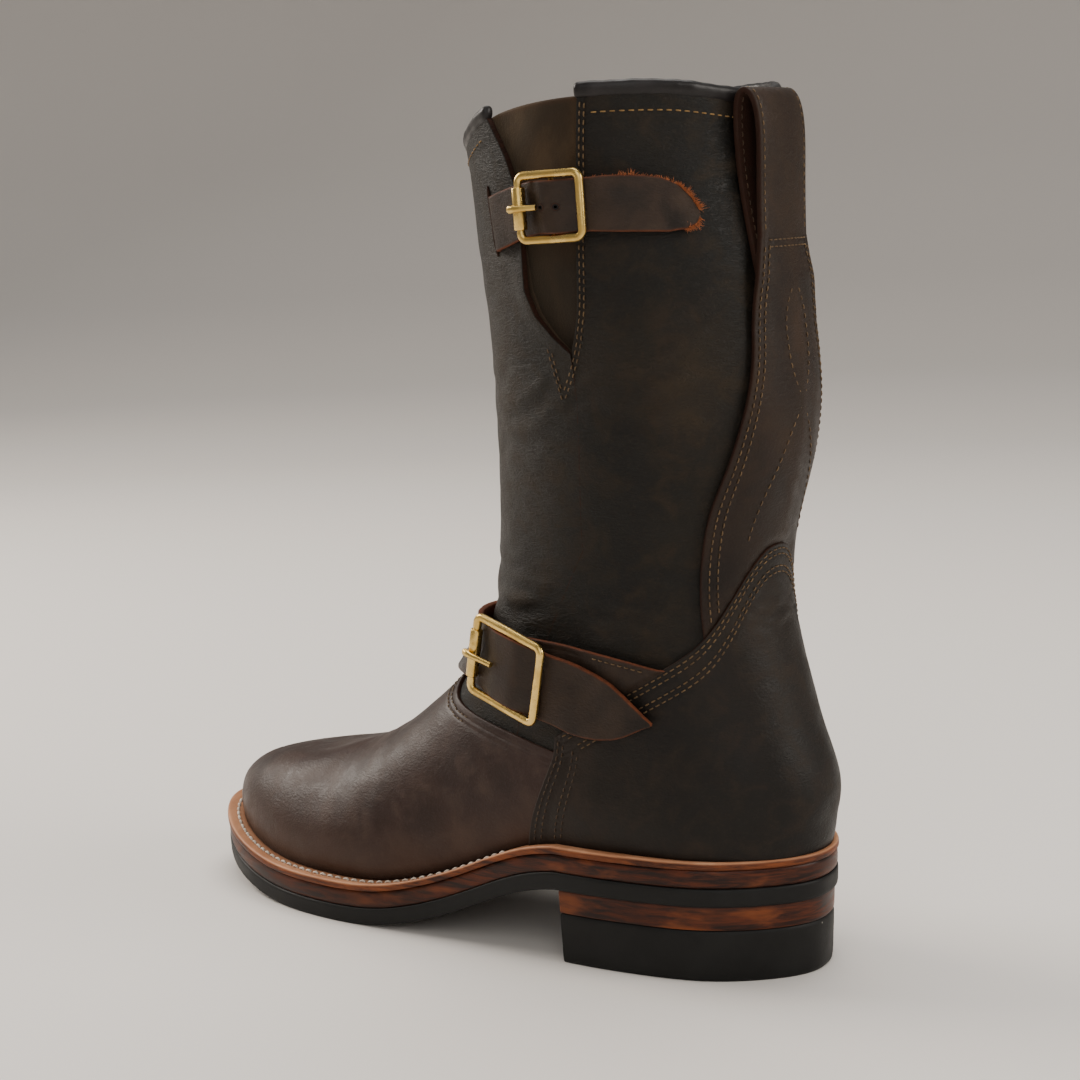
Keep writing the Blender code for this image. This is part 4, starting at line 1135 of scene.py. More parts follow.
STRAP_LEATHER = leather("strap_leather", (0.0074, 0.0050, 0.0036), (0.0135, 0.0086, 0.0060),
                        (0.044, 0.027, 0.0170), (0.024, 0.0125, 0.0078), (0.135, 0.036, 0.013),
                        roughness=0.46, wrinkle=0.35, pebble=0.45)
HOLE_LEATHER = leather("hole_leather", (0.0085, 0.0060, 0.0048), (0.0150, 0.0100, 0.0072),
                       (0.050, 0.031, 0.020), (0.024, 0.0125, 0.0078), (0.100, 0.030, 0.012),
                       roughness=0.6, coat=0.0)
BINDING_LEATHER = leather("binding_leather", (0.0050, 0.0042, 0.0042), (0.0085, 0.0070, 0.0070),
                          (0.024, 0.020, 0.020), (0.018, 0.014, 0.014), (0.040, 0.016, 0.010),
                          roughness=0.36, coat=0.18, wrinkle=0.12, pebble=0.2)
LINING_LEATHER = napped("lining_leather", (0.030, 0.018, 0.011), (0.075, 0.046, 0.026))
GUSSET_LEATHER = napped("gusset_leather", (0.020, 0.0118, 0.0058), (0.078, 0.046, 0.0220))
INSOLE_LEATHER = sole_leather("insole_leather", (0.25, 0.15, 0.08), (0.40, 0.25, 0.14),
                              (0.50, 0.34, 0.20), roughness=0.6, coat=0.0, streak=0.3)
WELT_LEATHER = sole_leather("welt_leather", (0.36, 0.155, 0.075), (0.52, 0.255, 0.135),
                            (0.64, 0.36, 0.21), roughness=0.48, coat=0.05, streak=0.6)
EDGE_LEATHER = sole_leather("edge_leather", (0.0085, 0.0022, 0.0010), (0.080, 0.0165, 0.0038),
                            (0.23, 0.058, 0.0125), roughness=0.40, coat=0.06)
OUTSOLE_RUBBER = rubber("outsole_rubber", (0.0040, 0.0041, 0.0040), (0.0090, 0.0091, 0.0088),
                        0.01)
HEEL_RUBBER = rubber("heel_rubber", (0.0038, 0.0038, 0.0036), (0.0085, 0.0085, 0.0080), 0.10)
BRASS = brass("brass")
TAN_THREAD = thread("tan_thread", (0.075, 0.043, 0.018), (0.150, 0.092, 0.040))
GOLD_THREAD = thread("gold_thread", (0.16, 0.088, 0.028), (0.29, 0.175, 0.060))
BROWN_THREAD = thread("brown_thread", (0.040, 0.022, 0.0105), (0.085, 0.050, 0.025))
WELT_THREAD = thread("welt_thread", (0.52, 0.44, 0.36), (0.74, 0.66, 0.56))
FUZZ = thread("fuzz", (0.28, 0.075, 0.022), (0.46, 0.15, 0.05))


# Sole

def smooth_bottom(y):
    """The outsole's underside as a smooth curve"""
    share = -np.asarray(y, float) / SOLE_LENGTH
    rise = np.maximum(profile_rise(share), 0.0)
    return np.where(share < SEAT_END, HEEL_HEIGHT, rise)


SIDE_SHARES = np.array([0.0, 0.0, 0.06, 0.2, 0.35, 0.5, 0.65, 0.8, 0.94, 1.0, 1.0])
LID_INSET = 30.0
SIDE_CORNER = 0.5


def edge_band(name, phases, low, high, low_inset, high_inset, material, node, bulge=0.0):
    """A sole layer: its side with rounded corners and a strip of its top and underside"""
    sections = []
    for k, share in enumerate(SIDE_SHARES):
        trim = SIDE_CORNER * (1 - math.sqrt(max(0.0, 1 - (abs(share - 0.5) * 2) ** 6)))
        inset = low_inset + (high_inset - low_inset) * share + trim
        inset = inset - bulge * (1 - (2 * share - 1) ** 2)
        if k in (0, len(SIDE_SHARES) - 1):
            inset = LID_INSET
        x, y = sole_edge(phases, inset)
        sections.append(np.stack([x, y, low(y) + (high(y) - low(y)) * share], -1))
    grid = np.stack(sections, 1)
    # painted shade along each layer's lower edge and underside, where it meets the layer below
    tone = tone_of(grid.shape[:2], dark=np.exp(-(SIDE_SHARES / 0.07) ** 2) * 0.8)
    grid = np.concatenate([grid, grid[:1]])
    tone = np.concatenate([tone, tone[:1]])
    piece(name, grid, quads(*grid.shape[:2]), material, tone, (node,), merge=True,
          closed=True)


def make_sole():
    phases = np.linspace(0, 2 * math.pi, 420, endpoint=False)
    inset = EDGE_INSET
    edge_band("sole_outsole", phases, smooth_bottom, lambda y: smooth_bottom(y) + OUTSOLE,
              inset["outsole"] + 0.3, inset["outsole"], OUTSOLE_RUBBER, "outsole")
    edge_band("sole_midsole", phases, lambda y: smooth_bottom(y) + OUTSOLE + 0.1,
              lambda y: smooth_bottom(y) + OUTSOLE + MIDSOLE, inset["midsole"],
              inset["midsole"], EDGE_LEATHER, "midsole", bulge=0.25)
    make_heel()
    make_welt_piece(phases)
    make_insole_piece()


HEEL_SHARES = np.array([0.0, 0.03, 0.1, 0.25, 0.5, 0.75, 0.9, 0.97, 1.0])


def make_heel():
    """Leather lift and rubber top piece with a straight breast"""
    last_phase = math.acos(1 + 2 * BREAST_Y / SOLE_LENGTH)
    around = np.linspace(-last_phase, last_phase, 260)
    floor_in = EDGE_INSET["lift"] + HEEL_TAPER
    split_in = floor_in - HEEL_TAPER * TOP_PIECE_HEIGHT / HEEL_HEIGHT
    layers = (("heel_top", "heel_top_piece", 0.0, TOP_PIECE_HEIGHT, floor_in, split_in,
               HEEL_RUBBER, "sole_rubber", 0.9),
              ("heel_stack", "heel_lift", TOP_PIECE_HEIGHT + 0.08, HEEL_HEIGHT, split_in,
               EDGE_INSET["lift"], EDGE_LEATHER, "heel_leather", 0.25))
    for name, node, low, high, low_in, high_in, material, slot, corner in layers:
        rings = []
        for share in HEEL_SHARES:
            reach = abs(share - 0.5) * 2
            trim = corner * (1 - math.sqrt(max(0.0, 1 - reach ** 10)))
            x, y = sole_edge(around, low_in + (high_in - low_in) * share + trim)
            y = np.maximum(y, BREAST_Y)
            z = 0 * x + low + (high - low) * share
            rings.append(np.stack([x, y, z], -1))
        grid = np.stack(rings, 0)
        faces = quads(*grid.shape[:2], wrap=True, caps=True)
        # painted shade at the top of each layer, under the layer above
        dark = np.exp(-((1 - HEEL_SHARES[:, None]) / 0.06) ** 2) * 0.5
        tone = tone_of(grid.shape[:2], dark=dark)
        made = piece(name, grid, faces, material, tone, (node,), closed=True)
        made.data.set_sharp_from_angle(angle=math.radians(48))


WELT_STITCH_END = -113.0
WELT_STITCH_IN = 4.6
WELT_ACROSS = (0.25, 0.7, 1.2, 1.8, 2.4, 3.0, 3.6, 4.2, 5.0, 6.0, 7.5, 10.0)


def make_welt_piece(phases):
    """Tan strip with rounded edge; a stitch channel runs along it in front of the arch"""
    low = OUTSOLE + MIDSOLE + 0.1
    top = OUTSOLE + MIDSOLE + WELT
    sections = []
    # painted shade on the welt: along its lower edge and in a line where the upper stands on it
    welt_shade = []
    x, y = sole_edge(phases, 9.0)
    sections.append(np.stack([x, y, smooth_bottom(y) + low], -1))
    welt_shade.append(0.0)
    burnished = [0.0]
    for inset, height in ((0.35, 0.0), (0.05, 0.35), (0.0, WELT * 0.5), (0.05, WELT - 0.75),
                          (0.25, WELT - 0.3)):
        x, y = sole_edge(phases, inset)
        sections.append(np.stack([x, y, smooth_bottom(y) + low + height], -1))
        welt_shade.append(0.2 if height == 0.0 else 0.0)
        burnished.append(1.0 if height < WELT - 0.5 else 0.3)
    burnished += [0.0] * len(WELT_ACROSS)
    for inset in WELT_ACROSS:
        x, y = sole_edge(phases, inset)
        fore = soft_step(WELT_STITCH_END + 4, WELT_STITCH_END - 4, y)
        sunk = 0.35 * np.exp(-((inset - WELT_STITCH_IN) / 0.8) ** 2) * fore
        curl = 0.25 * math.exp(-((inset - 1.2) / 1.0) ** 2)
        rise = top + curl - sunk - 0.35 * math.exp(-(inset / 0.3) ** 2)
        sections.append(np.stack([x, y, smooth_bottom(y) + rise], -1))
        welt_shade.append(0.5 * math.exp(-((inset - 7.0) / 1.2) ** 2))
    grid = np.stack(sections, 1)
    grid = np.concatenate([grid, grid[:1]])
    toe = soft_step(-262, -288, grid[..., 1])
    tone = tone_of(grid.shape[:2], raw=np.array(burnished) * (1 - 0.6 * toe),
                   dark=np.array(welt_shade) + 0 * toe)
    faces = quads(grid.shape[0], grid.shape[1])
    piece("sole_welt", grid, faces, WELT_LEATHER, tone, ("welt",), merge=True,
          closed=True)
    fine = np.linspace(0, 2 * math.pi, 1600)
    x, y = sole_edge(fine, WELT_STITCH_IN)
    keep = y < WELT_STITCH_END
    path = np.stack([x, y, smooth_bottom(y) + top - 0.25], -1)[keep]
    stitch_row("welt", path, np.tile([0.0, 0.0, 1.0], (len(path), 1)), length=3.3, gap=0.9,
               radius=0.55, lift=0.15)


def make_insole_piece():
    phases = np.linspace(0, math.pi, 90)
    shares = np.linspace(-1, 1, 21)
    inset = ledge(phases) + WALL + INSOLE_CLEARANCE - 0.6
    lateral = np.stack(sole_edge(phases, inset), -1)
    medial = np.stack(sole_edge(-phases, inset), -1)
    way = (shares[None, :, None] + 1) / 2
    plan = medial[:, None] + (lateral - medial)[:, None] * way
    top = OUTSOLE + MIDSOLE + WELT + INSOLE_STAND
    z = smooth_bottom(plan[..., 1]) + top - 1.2 * np.abs(shares) ** 6
    grid = np.concatenate([plan, z[..., None]], -1)
    faces = quads(*grid.shape[:2])
    made = piece("footbed", grid, faces, INSOLE_LEATHER, tone_of(z.shape),
                 ("insole",))
    made.data.flip_normals()


# Upper

VAMP_EDGE_COLUMNS = ("turn", "height")
VAMP_EDGE = (
    (70.0, 76.0),
    (100.0, 86.0),
    (114.0, 89.5),
    (125.0, 92.0),
    (137.0, 94.5),
    (150.0, 96.5),
    (165.0, 98.5),
    (180.0, 99.5),
)
vamp_edge = curve(VAMP_EDGE_COLUMNS, VAMP_EDGE, "height")


def folded_turn(turn):
    """A turn counted from the back seam on either side"""
    turn = np.mod(turn, 360.0)
    return np.where(turn > 180, 360 - turn, turn)


# Creases: turn and height of one end, of the other end, width and depth
CREASES = (
    (100.0, 132.0, 178.0, 128.0, 2.6, 0.55),
    (98.0, 139.5, 160.0, 136.0, 2.2, 0.40),
    (112.0, 146.0, 200.0, 143.0, 2.4, 0.35),
    (60.0, 128.0, 96.0, 133.0, 2.0, 0.30),
    (52.0, 134.0, 88.0, 139.0, 2.0, 0.28),
    (205.0, 136.0, 262.0, 130.0, 2.6, 0.45),
    (215.0, 146.0, 280.0, 138.0, 2.4, 0.35),
    (40.0, 214.0, 66.0, 205.0, 3.2, 0.40),
    (44.0, 224.0, 72.0, 214.0, 2.8, 0.32),
    (36.0, 236.0, 62.0, 228.0, 2.6, 0.26),
    (55.0, 196.0, 84.0, 204.0, 3.0, 0.30),
    (74.0, 216.0, 96.0, 204.0, 2.4, 0.24),
    (96.0, 212.0, 128.0, 200.0, 3.4, 0.42),
    (100.0, 196.0, 140.0, 188.0, 3.0, 0.34),
    (118.0, 218.0, 150.0, 212.0, 3.2, 0.30),
    (210.0, 214.0, 262.0, 200.0, 3.4, 0.40),
    (228.0, 196.0, 282.0, 188.0, 3.2, 0.34),
    (280.0, 222.0, 318.0, 210.0, 3.0, 0.32),
)
# Lighter patches, wear and painted sheen (the tall ones near the front of the lateral side paint
# the light falling there): turn and height of the middle, size round and up, amount
SHEEN_AND_WEAR_PATCHES = (
    (52.0, 208.0, 13.0, 15.0, 0.90),
    (128.0, 215.0, 14.0, 34.0, 0.45),
    (136.0, 168.0, 12.0, 30.0, 0.30),
    (118.0, 262.0, 9.0, 26.0, 0.40),
    (240.0, 205.0, 22.0, 22.0, 0.45),
    (205.0, 240.0, 18.0, 30.0, 0.35),
    (300.0, 220.0, 18.0, 18.0, 0.35),
    (78.0, 222.0, 14.0, 14.0, 0.35),
    (40.0, 226.0, 12.0, 16.0, 0.40),
    (60.0, 128.0, 24.0, 7.0, 0.30),
)


def turn_gap(turn, centre):
    return np.mod(turn - centre + 180.0, 360.0) - 180.0


def shaft_relief(x, y, z):
    """Soft creases and slow unevenness of the shaft's leather, in millimetres"""
    turn = np.mod(turn_of(x, y, z), 360.0)
    total = 0.28 * noise3(x, y, z, 60.0, 3) + 0.10 * noise3(x, y, z * 1.6, 17.0, 5)
    for turn_a, z_a, turn_b, z_b, width, depth in CREASES:
        middle = (turn_a + turn_b) / 2
        across = turn_gap(turn, middle) * 0.95
        half = abs(turn_b - turn_a) / 2 * 0.95
        wave = 1.6 * np.sin(across * 0.16 + z_a)
        line = (z_a + z_b) / 2 + (z_b - z_a) / 2 * across / half + wave
        fade = 1 - soft_step(0.55 * half, half, np.abs(across))
        gap = (z - line) / width
        total = total - depth * fade * (np.exp(-gap ** 2) - 0.7 * np.exp(-(gap - 1.9) ** 2)
                                        - 0.4 * np.exp(-(gap + 1.9) ** 2))
    return total


def shaft_sheen_and_wear(x, y, z):
    turn = np.mod(turn_of(x, y, z), 360.0)
    total = 0.0
    for centre, height, turn_size, z_size, amount in SHEEN_AND_WEAR_PATCHES:
        gap = (turn_gap(turn, centre) / turn_size) ** 2 + ((z - height) / z_size) ** 2
        total = total + amount * np.exp(-gap)
    return total


VEE_ROWS_IN = (1.0, 2.5)


SPLIT = VEE[0][0]
COLLAR_ROW = 6.2


def turns_round(level, shares):
    """Turns round the upper from the V's rear edge to its front edge"""
    rear = np.where(level > SPLIT, vee_rear(level), VEE_FOOT)
    front = np.where(level > SPLIT, vee_front(level), VEE_FOOT)
    return rear + (front - 360 - rear) * shares


def make_shaft():
    """The shaft from the ankle seams to the collar, open along the V"""
    shares = spaced(340.0, 1.25) / 340.0
    low_levels = np.linspace(0.32, 1.0, 66)
    mid_levels = np.linspace(1.0, SPLIT, 64)[1:]
    top_levels = np.linspace(SPLIT, 2.0, 80)[1:]
    level = np.concatenate([low_levels, mid_levels, top_levels])[:, None] + 0 * shares
    turn = turns_round(level, shares)
    face = upper_face(turn, level)
    x, y, z = face
    points = np.stack(face, -1)
    from_rear = run_length(points, 1)
    from_front = run_length(points, 1, from_end=True)
    opened = soft_step(SPLIT - 0.01, SPLIT + 0.02, level)
    side = folded_turn(turn)
    above = z - vamp_edge(np.clip(side, VAMP_EDGE[0][0], 180))
    under = (1 - soft_step(-1.0, 9.0, above)) * soft_step(66, 90, side)
    relief = shaft_relief(x, y, z) * soft_step(0, 14, wall_top(turn) - z)
    seam = groove(from_rear, VEE_ROWS_IN) * opened
    curl = np.exp(-((z - 245.0) / 16.0) ** 2) * np.exp(-(from_front / 7.0) ** 2)
    roll = groove(wall_top(turn) - z, (9.5,), 0.22)
    near_edge = opened * (1 - soft_step(0, 9, np.minimum(from_rear, from_front)))
    height = relief * (1 - near_edge) - 1.35 * under - seam + 2.2 * curl - roll
    ridge = np.clip(relief, 0, 1)
    # lighter tone: wear and painted sheen from the patches, and lighter crease ridges
    light = 0.55 * shaft_sheen_and_wear(x, y, z) + 0.35 * ridge
    # painted shade in the seam groove beside the V's rear edge and in the creases
    dark = 0.5 * np.exp(-((from_rear - 3.2) / 3.0) ** 2) * opened * 0.4
    dark = dark + 0.35 * np.clip(-relief, 0, 1)
    tone = tone_of(z.shape, light=light, dark=dark)
    normal = normals_at(face)
    made = points + normal * height[..., None]
    edge_tone = tone.copy()
    edge_tone[..., 0] = 1.0
    hem_points, hem_tones = [], []
    for pick in (np.s_[:, :1], np.s_[:, -1:]):
        for drop in (0.5, WALL + 0.1):
            hem_points.append(made[pick] - normal[pick] * (drop * opened[pick])[..., None])
            hem_tones.append(edge_tone[pick])
    grid = np.concatenate([hem_points[1], hem_points[0], made, hem_points[2], hem_points[3]], 1)
    tone = np.concatenate([hem_tones[1], hem_tones[0], tone, hem_tones[2], hem_tones[3]], 1)
    faces = quads(*grid.shape[:2])
    shaft = piece("shaft", grid, faces, SHAFT_LEATHER, tone, ("upper",),
                  merge=True)
    orient(shaft)
    make_lining()
    vee_stitches()
    turns = np.linspace(68.5, -246.0, 700)
    face = wall_point(turns, wall_top(turns) - COLLAR_ROW)
    face_row("gold", face, shaft_relief(*face) * 0.35 - 0.05, length=2.3, gap=0.9)


def orient(made, outward=True):
    """Turn a sheet's faces away from the middle of its own box"""
    mesh = made.data
    centres = np.zeros(len(mesh.polygons) * 3)
    mesh.polygons.foreach_get("center", centres)
    ways = np.zeros(len(mesh.polygons) * 3)
    mesh.polygons.foreach_get("normal", ways)
    centres = centres.reshape(-1, 3)
    ways = ways.reshape(-1, 3)
    score = (ways * (centres - centres.mean(0))).sum()
    if (score < 0) == outward:
        mesh.flip_normals()


def make_lining():
    levels = np.concatenate([np.linspace(0.02, SPLIT, 46), np.linspace(SPLIT, 2.0, 30)[1:]])
    shares = np.linspace(0, 1, 150)
    level = levels[:, None] + 0 * shares
    face = upper_face(turns_round(level, shares), level)
    made = lifted(face, 0 * level - WALL)
    lining = piece("lining", made, quads(*made.shape[:2]), LINING_LEATHER,
                   tone_of(level.shape), merge=True)
    orient(lining, outward=False)


VEE_POINT_TURN = 93.4


def vee_stitches():
    """Double rows beside the V's rear edge that run on to a point below it"""
    for k, row in enumerate(VEE_ROWS_IN):
        level = np.linspace(1.995, SPLIT + 0.04, 160)
        z = upper_face(vee_rear(level), level)[2]
        turn = vee_rear(level) - row / 0.96
        end_z = 211.5 - 3.2 * k
        tail_z = np.linspace(z[-1], end_z, 30)[1:]
        down = (z[-1] - tail_z) / (z[-1] - end_z)
        tail_turn = turn[-1] + (VEE_POINT_TURN - turn[-1]) * down ** 1.25
        path = wall_point(np.concatenate([turn, tail_turn]), np.concatenate([z, tail_z]))
        face_row("tan", path, shaft_relief(*path) * 0.2 - 0.08)
        start_z = 231.0 - 2.0 * k
        left_z = np.linspace(start_z, end_z, 30)
        first = 95.6 + row * 0.9
        down = (start_z - left_z) / (start_z - end_z)
        left_turn = first + (VEE_POINT_TURN - first) * down ** 1.3
        path = wall_point(left_turn, left_z)
        face_row("tan", path, shaft_relief(*path) * 0.5 - 0.05)


def level_at(turns, heights):
    """Level below the ankle ring at which the upper reaches a height"""
    low = 0 * turns
    high = 0 * turns + 1.0
    for _ in range(14):
        middle = (low + high) / 2
        above = upper_face(turns, middle)[2] > heights
        high = np.where(above, middle, high)
        low = np.where(above, low, middle)
    return (low + high) / 2


VAMP_ROWS = (3.2, 5.6)
VAMP_LIFT = 0.15
# Rolls across the ball: y, depth and size
VAMP_ROLLS = ((-196.0, 0.30, 4.5), (-208.0, 0.22, 4.0), (-182.0, 0.26, 5.0))


def vamp_relief(x, y, z):
    """Shallow flexing rolls across the ball and slow unevenness"""
    total = 0.20 * noise3(x, y, z, 55.0, 11) + 0.06 * noise3(x, y, z, 16.0, 12)
    for centre, depth, size in VAMP_ROLLS:
        bend = y - centre + 0.10 * x + 1.6 * np.sin(x * 0.12)
        high = soft_step(26, 52, z)
        total = total - depth * high * np.exp(-(bend / size) ** 2)
    return total


def make_vamp():
    """Front of the foot from the welt to its top seam under the instep strap"""
    turns = np.linspace(70.0, 290.0, 330)
    side = folded_turn(turns)
    top = level_at(turns, vamp_edge(np.clip(side, VAMP_EDGE[0][0], 180)))
    near = NEAR[::-1]
    shares = np.linspace(0, 1, 112)
    guess = upper_face(np.broadcast_to(turns, (60, len(turns))),
                       np.linspace(0, 1, 60)[:, None] * top)
    total = run_length(np.stack(guess, -1), 0)[-1]
    near_lines = 1 - near[:, None] / total
    main_lines = shares[:-1, None] * (1 - near[0] / total)
    level = np.concatenate([main_lines, near_lines]) * top
    turn = turns + 0 * level
    face = upper_face(turn, level)
    x, y, z = face
    points = np.stack(face, -1)
    from_top = run_length(points, 0, from_end=True)
    fade = soft_step(0, 10, from_top)
    relief = vamp_relief(x, y, z)
    height = VAMP_LIFT + relief * fade - groove(from_top, VAMP_ROWS)
    low = 1 - soft_step(0, 26, z - feather_height(y))
    blotch = 0.5 + 0.5 * noise3(x, y, z, 38.0, 21)
    warm = np.clip(0.30 + 0.75 * low, 0, 1) * (0.55 + 0.45 * blotch)
    # darker on top of the toe, and painted shade where the vamp meets the welt
    toe_dark = 0.25 * soft_step(-235, -285, y) * soft_step(30, 50, z)
    dark = np.clip(toe_dark + 0.6 * np.exp(-((z - feather_height(y)) / 2.2) ** 2), 0, 1)
    light = 0.35 * np.clip(noise3(x, y, z, 24.0, 31), 0, 1) + 0.25 * np.clip(relief, 0, 1)
    tone = tone_of(z.shape, light=light, warm=warm, dark=dark)
    sheet("vamp", face, height, VAMP_LEATHER, ("top",), 1.5, tone)
    add_skirt("vamp_skirt", points[0], normals_at(face)[0], VAMP_LEATHER)
    seen = np.flatnonzero((turns > 104.0) & (turns < 256.0))
    for row in VAMP_ROWS:
        pick = (np.argmin(np.abs(from_top[:, seen] - row), axis=0), seen)
        path = tuple(v[pick] for v in face)
        face_row("tan", path, height[pick] + 0.10, length=1.9, gap=0.8)


def add_skirt(name, edge, normal, material):
    """Leather that turns in under the upper down to the welt, painted dark as the shade under the
    upper
    """
    lines = [edge + normal * 0.2, edge - np.array([0, 0, 0.7]) + normal * 0.02,
             edge - np.array([0, 0, 1.5]) - normal * 0.9]
    grid = np.stack(lines, 0)
    # painted shade: the turned-in leather is darkened
    made = piece(name, grid, quads(*grid.shape[:2]), material,
                 tone_of(grid.shape[:2], dark=0.7, warm=0.5))
    orient(made)


COUNTER_ROWS = (1.8, 4.0, 8.6, 10.8)
COUNTER_NEAR = np.array([0, 0.3, 0.7, 1.2, 1.8, 2.4, 3.0, 3.6, 4.2, 5.0, 6.0, 7.0, 7.8, 8.4,
                         9.0, 9.8, 10.6, 11.2, 12.0, 13.5])
# Crumples beside the back seam: height and depth
COUNTER_CRUMPLES = ((126.0, 0.30), (131.0, 0.34), (135.5, 0.22))
COUNTER_OUT = COUNTER_LIFT + COUNTER_THICKNESS
counter_top_smooth = curve(COUNTER_TOP_COLUMNS, COUNTER_TOP, "height")


def counter_height(turn):
    """Top line of the counter: rounded at its peak, then down to the front corner"""
    return counter_top_smooth(np.sqrt(np.asarray(turn, float) ** 2 + 4.0))


def counter_place(share, climb):
    """A point of the counter: share round from the back seam, climb from the welt to the top"""
    foot_turn = share * COUNTER_FRONT_FOOT
    top_turn = share * COUNTER_FRONT_TOP
    low = 0 * share + 45.0
    for _ in range(4):
        low = feather_height(wall_point(foot_turn, low)[1])
    top = counter_height(np.abs(top_turn))
    turn = foot_turn + (top_turn - foot_turn) * climb
    return wall_point(turn, low + (top - low) * climb)


def make_counter_piece():
    """Heel counter over the upper, with crumples at the ankle bone and four seam rows"""
    ends = spaced(260.0, 1.5) / 130.0 - 1
    guess = counter_place(ends + np.zeros((40, 1)), np.linspace(0, 1, 40)[:, None] + 0 * ends)
    total = run_length(np.stack(guess, -1), 0)[-1]
    near = COUNTER_NEAR[::-1]
    near_lines = 1 - near[:, None] / total
    main_lines = np.linspace(0, 1, 66)[:-1, None] * (1 - near[0] / total)
    climb = np.concatenate([main_lines, near_lines])
    face = counter_place(ends + 0 * climb, climb)
    x, y, z = face
    points = np.stack(face, -1)
    from_top = run_length(points, 0, from_end=True)
    from_side = np.minimum(run_length(points, 1), run_length(points, 1, from_end=True))
    relief = 0.16 * noise3(x, y, z, 45.0, 41) + 0.05 * noise3(x, y, z, 14.0, 42)
    turn = np.mod(turn_of(x, y, z), 360.0)
    for centre_z, depth in COUNTER_CRUMPLES:
        for way in (14.0, -14.0):
            fade = np.exp(-(turn_gap(turn, way) / 17.0) ** 2)
            line = z - centre_z - 1.4 * np.sin(turn_gap(turn, way) * 0.22 + centre_z)
            relief = relief - depth * fade * (np.exp(-(line / 1.3) ** 2)
                                              - 0.6 * np.exp(-((line - 2.3) / 1.3) ** 2))
    inside = soft_step(0, 12, np.minimum(from_top, from_side))
    seam = groove(from_top, COUNTER_ROWS, 0.24) + groove(from_side, COUNTER_ROWS, 0.24)
    height = COUNTER_OUT + relief * inside - seam * 0.9
    light = 0.5 * np.clip(relief, 0, 1) + 0.22 * np.exp(-((from_side - 17) / 7) ** 2)
    # painted highlight: a broad lighter spot on the heel's rounded back, on the lateral side
    light = light + 0.25 * np.exp(-(turn_gap(turn, 20) / 30) ** 2 - ((z - 128) / 14) ** 2)
    # painted shade where the counter meets the welt
    dark = 0.5 * np.exp(-((z - feather_height(y)) / 2.4) ** 2)
    tone = tone_of(z.shape, light=light, dark=dark, warm=0.35 * np.exp(-(from_side / 22) ** 2))
    sheet("heel_counter", face, height, COUNTER_LEATHER,
          ("top", "first", "last"), COUNTER_OUT + 0.2, tone, ("counter",))
    normal = normals_at(face)[0]
    add_skirt("counter_skirt", points[0] + normal * (COUNTER_OUT - 0.2), normal,
              COUNTER_LEATHER)
    fine = np.linspace(-0.995, 0.995, 900)
    fine_total = np.interp(fine, ends, total)
    for row in COUNTER_ROWS:
        keep = np.abs(fine) < 1 - row / 125.0
        path = counter_place(fine[keep], 1 - row / fine_total[keep])
        face_row("tan", path, COUNTER_OUT - 0.12, length=2.0, gap=0.8)
        for way in (-1, 1):
            climb_fine = np.linspace(0.02, 1 - row / 45.0, 120)
            share = way * (1 - row / 130.0) + 0 * climb_fine
            path = counter_place(share, climb_fine)
            face_row("brown", path, COUNTER_OUT - 0.12, length=2.0, gap=0.8)


# Bands: stay, loop and straps; distances from the edge, fall and raw tone there

BAND_NEAR = np.array([0.0, 0.12, 0.4, 0.9, 1.5, 2.1, 2.7, 3.3, 4.0])
BAND_FALL = np.array([0.40, 0.14, 0.0, 0, 0, 0, 0, 0, 0])
BAND_RAW = np.array([1.0, 0.8, 0.25, 0, 0, 0, 0, 0, 0])

def band_ring(half, thickness, seams=(), across=9):
    """Section of a leather band: offsets across and out from its inner face, and raw tone"""
    shrink = min(1.0, half / 5.0)
    rise = thickness - BAND_FALL * shrink
    left = -half + BAND_NEAR * shrink
    middle = np.linspace(left[-1], -left[-1], across + 2)[1:-1]
    x = np.concatenate([left, middle, -left[::-1]])
    t = np.concatenate([rise, 0 * middle + thickness, rise[::-1]])
    tint = np.concatenate([BAND_RAW, 0 * middle, BAND_RAW[::-1]])
    edge = half - np.abs(x)
    t = t - groove(edge, seams, 0.22, 0.5)
    under = np.array([half, half - 0.3 * shrink, half * 0.5, 0, -half * 0.5,
                      -half + 0.3 * shrink, -half])
    lift = np.array([0.35 * shrink, 0, 0, 0, 0, 0, 0.35 * shrink])
    x = np.concatenate([x, under])
    t = np.concatenate([t, lift])
    tint = np.concatenate([tint, np.ones(7)])
    return x, t, tint


def band(name, points, tints, material, nodes, light=0.0, warm=0.0, dark=0.0):
    """A closed body from sections along a leather band"""
    faces = quads(*points.shape[:2], wrap=True, caps=True)
    tone = tone_of(points.shape[:2], raw=tints, light=light, warm=warm, dark=dark)
    piece(name, points, faces, material, tone, nodes, closed=True)


STAY_SEAM = (2.0, 4.1)
LOOP_SEAM = (2.0,)
LOOP_FACE_TOP = 312.0
CROSS_ROWS = (261.8, 259.4)


def stay_surface(x, z, out):
    """A point of the stay: x across, height and how far out from the shaft"""
    face = back_point(x, z)
    upright = soft_step(236, 262, z)[..., None]
    straight = np.stack([face[0], face[1] + out, face[2]], -1)
    return lifted(face, out) * (1 - upright) + straight * upright


def stay_out(x, z):
    """Outer face of the stay above the shaft, sunk where the counter lies over it"""
    face = back_point(x, z)
    turn = np.abs(turn_of(*face))
    above = z - counter_height(turn)
    full = stay_lift(z) + STAY_THICKNESS
    return 1.0 + (full - 1.0) * soft_step(-1.5, 5.0, above)


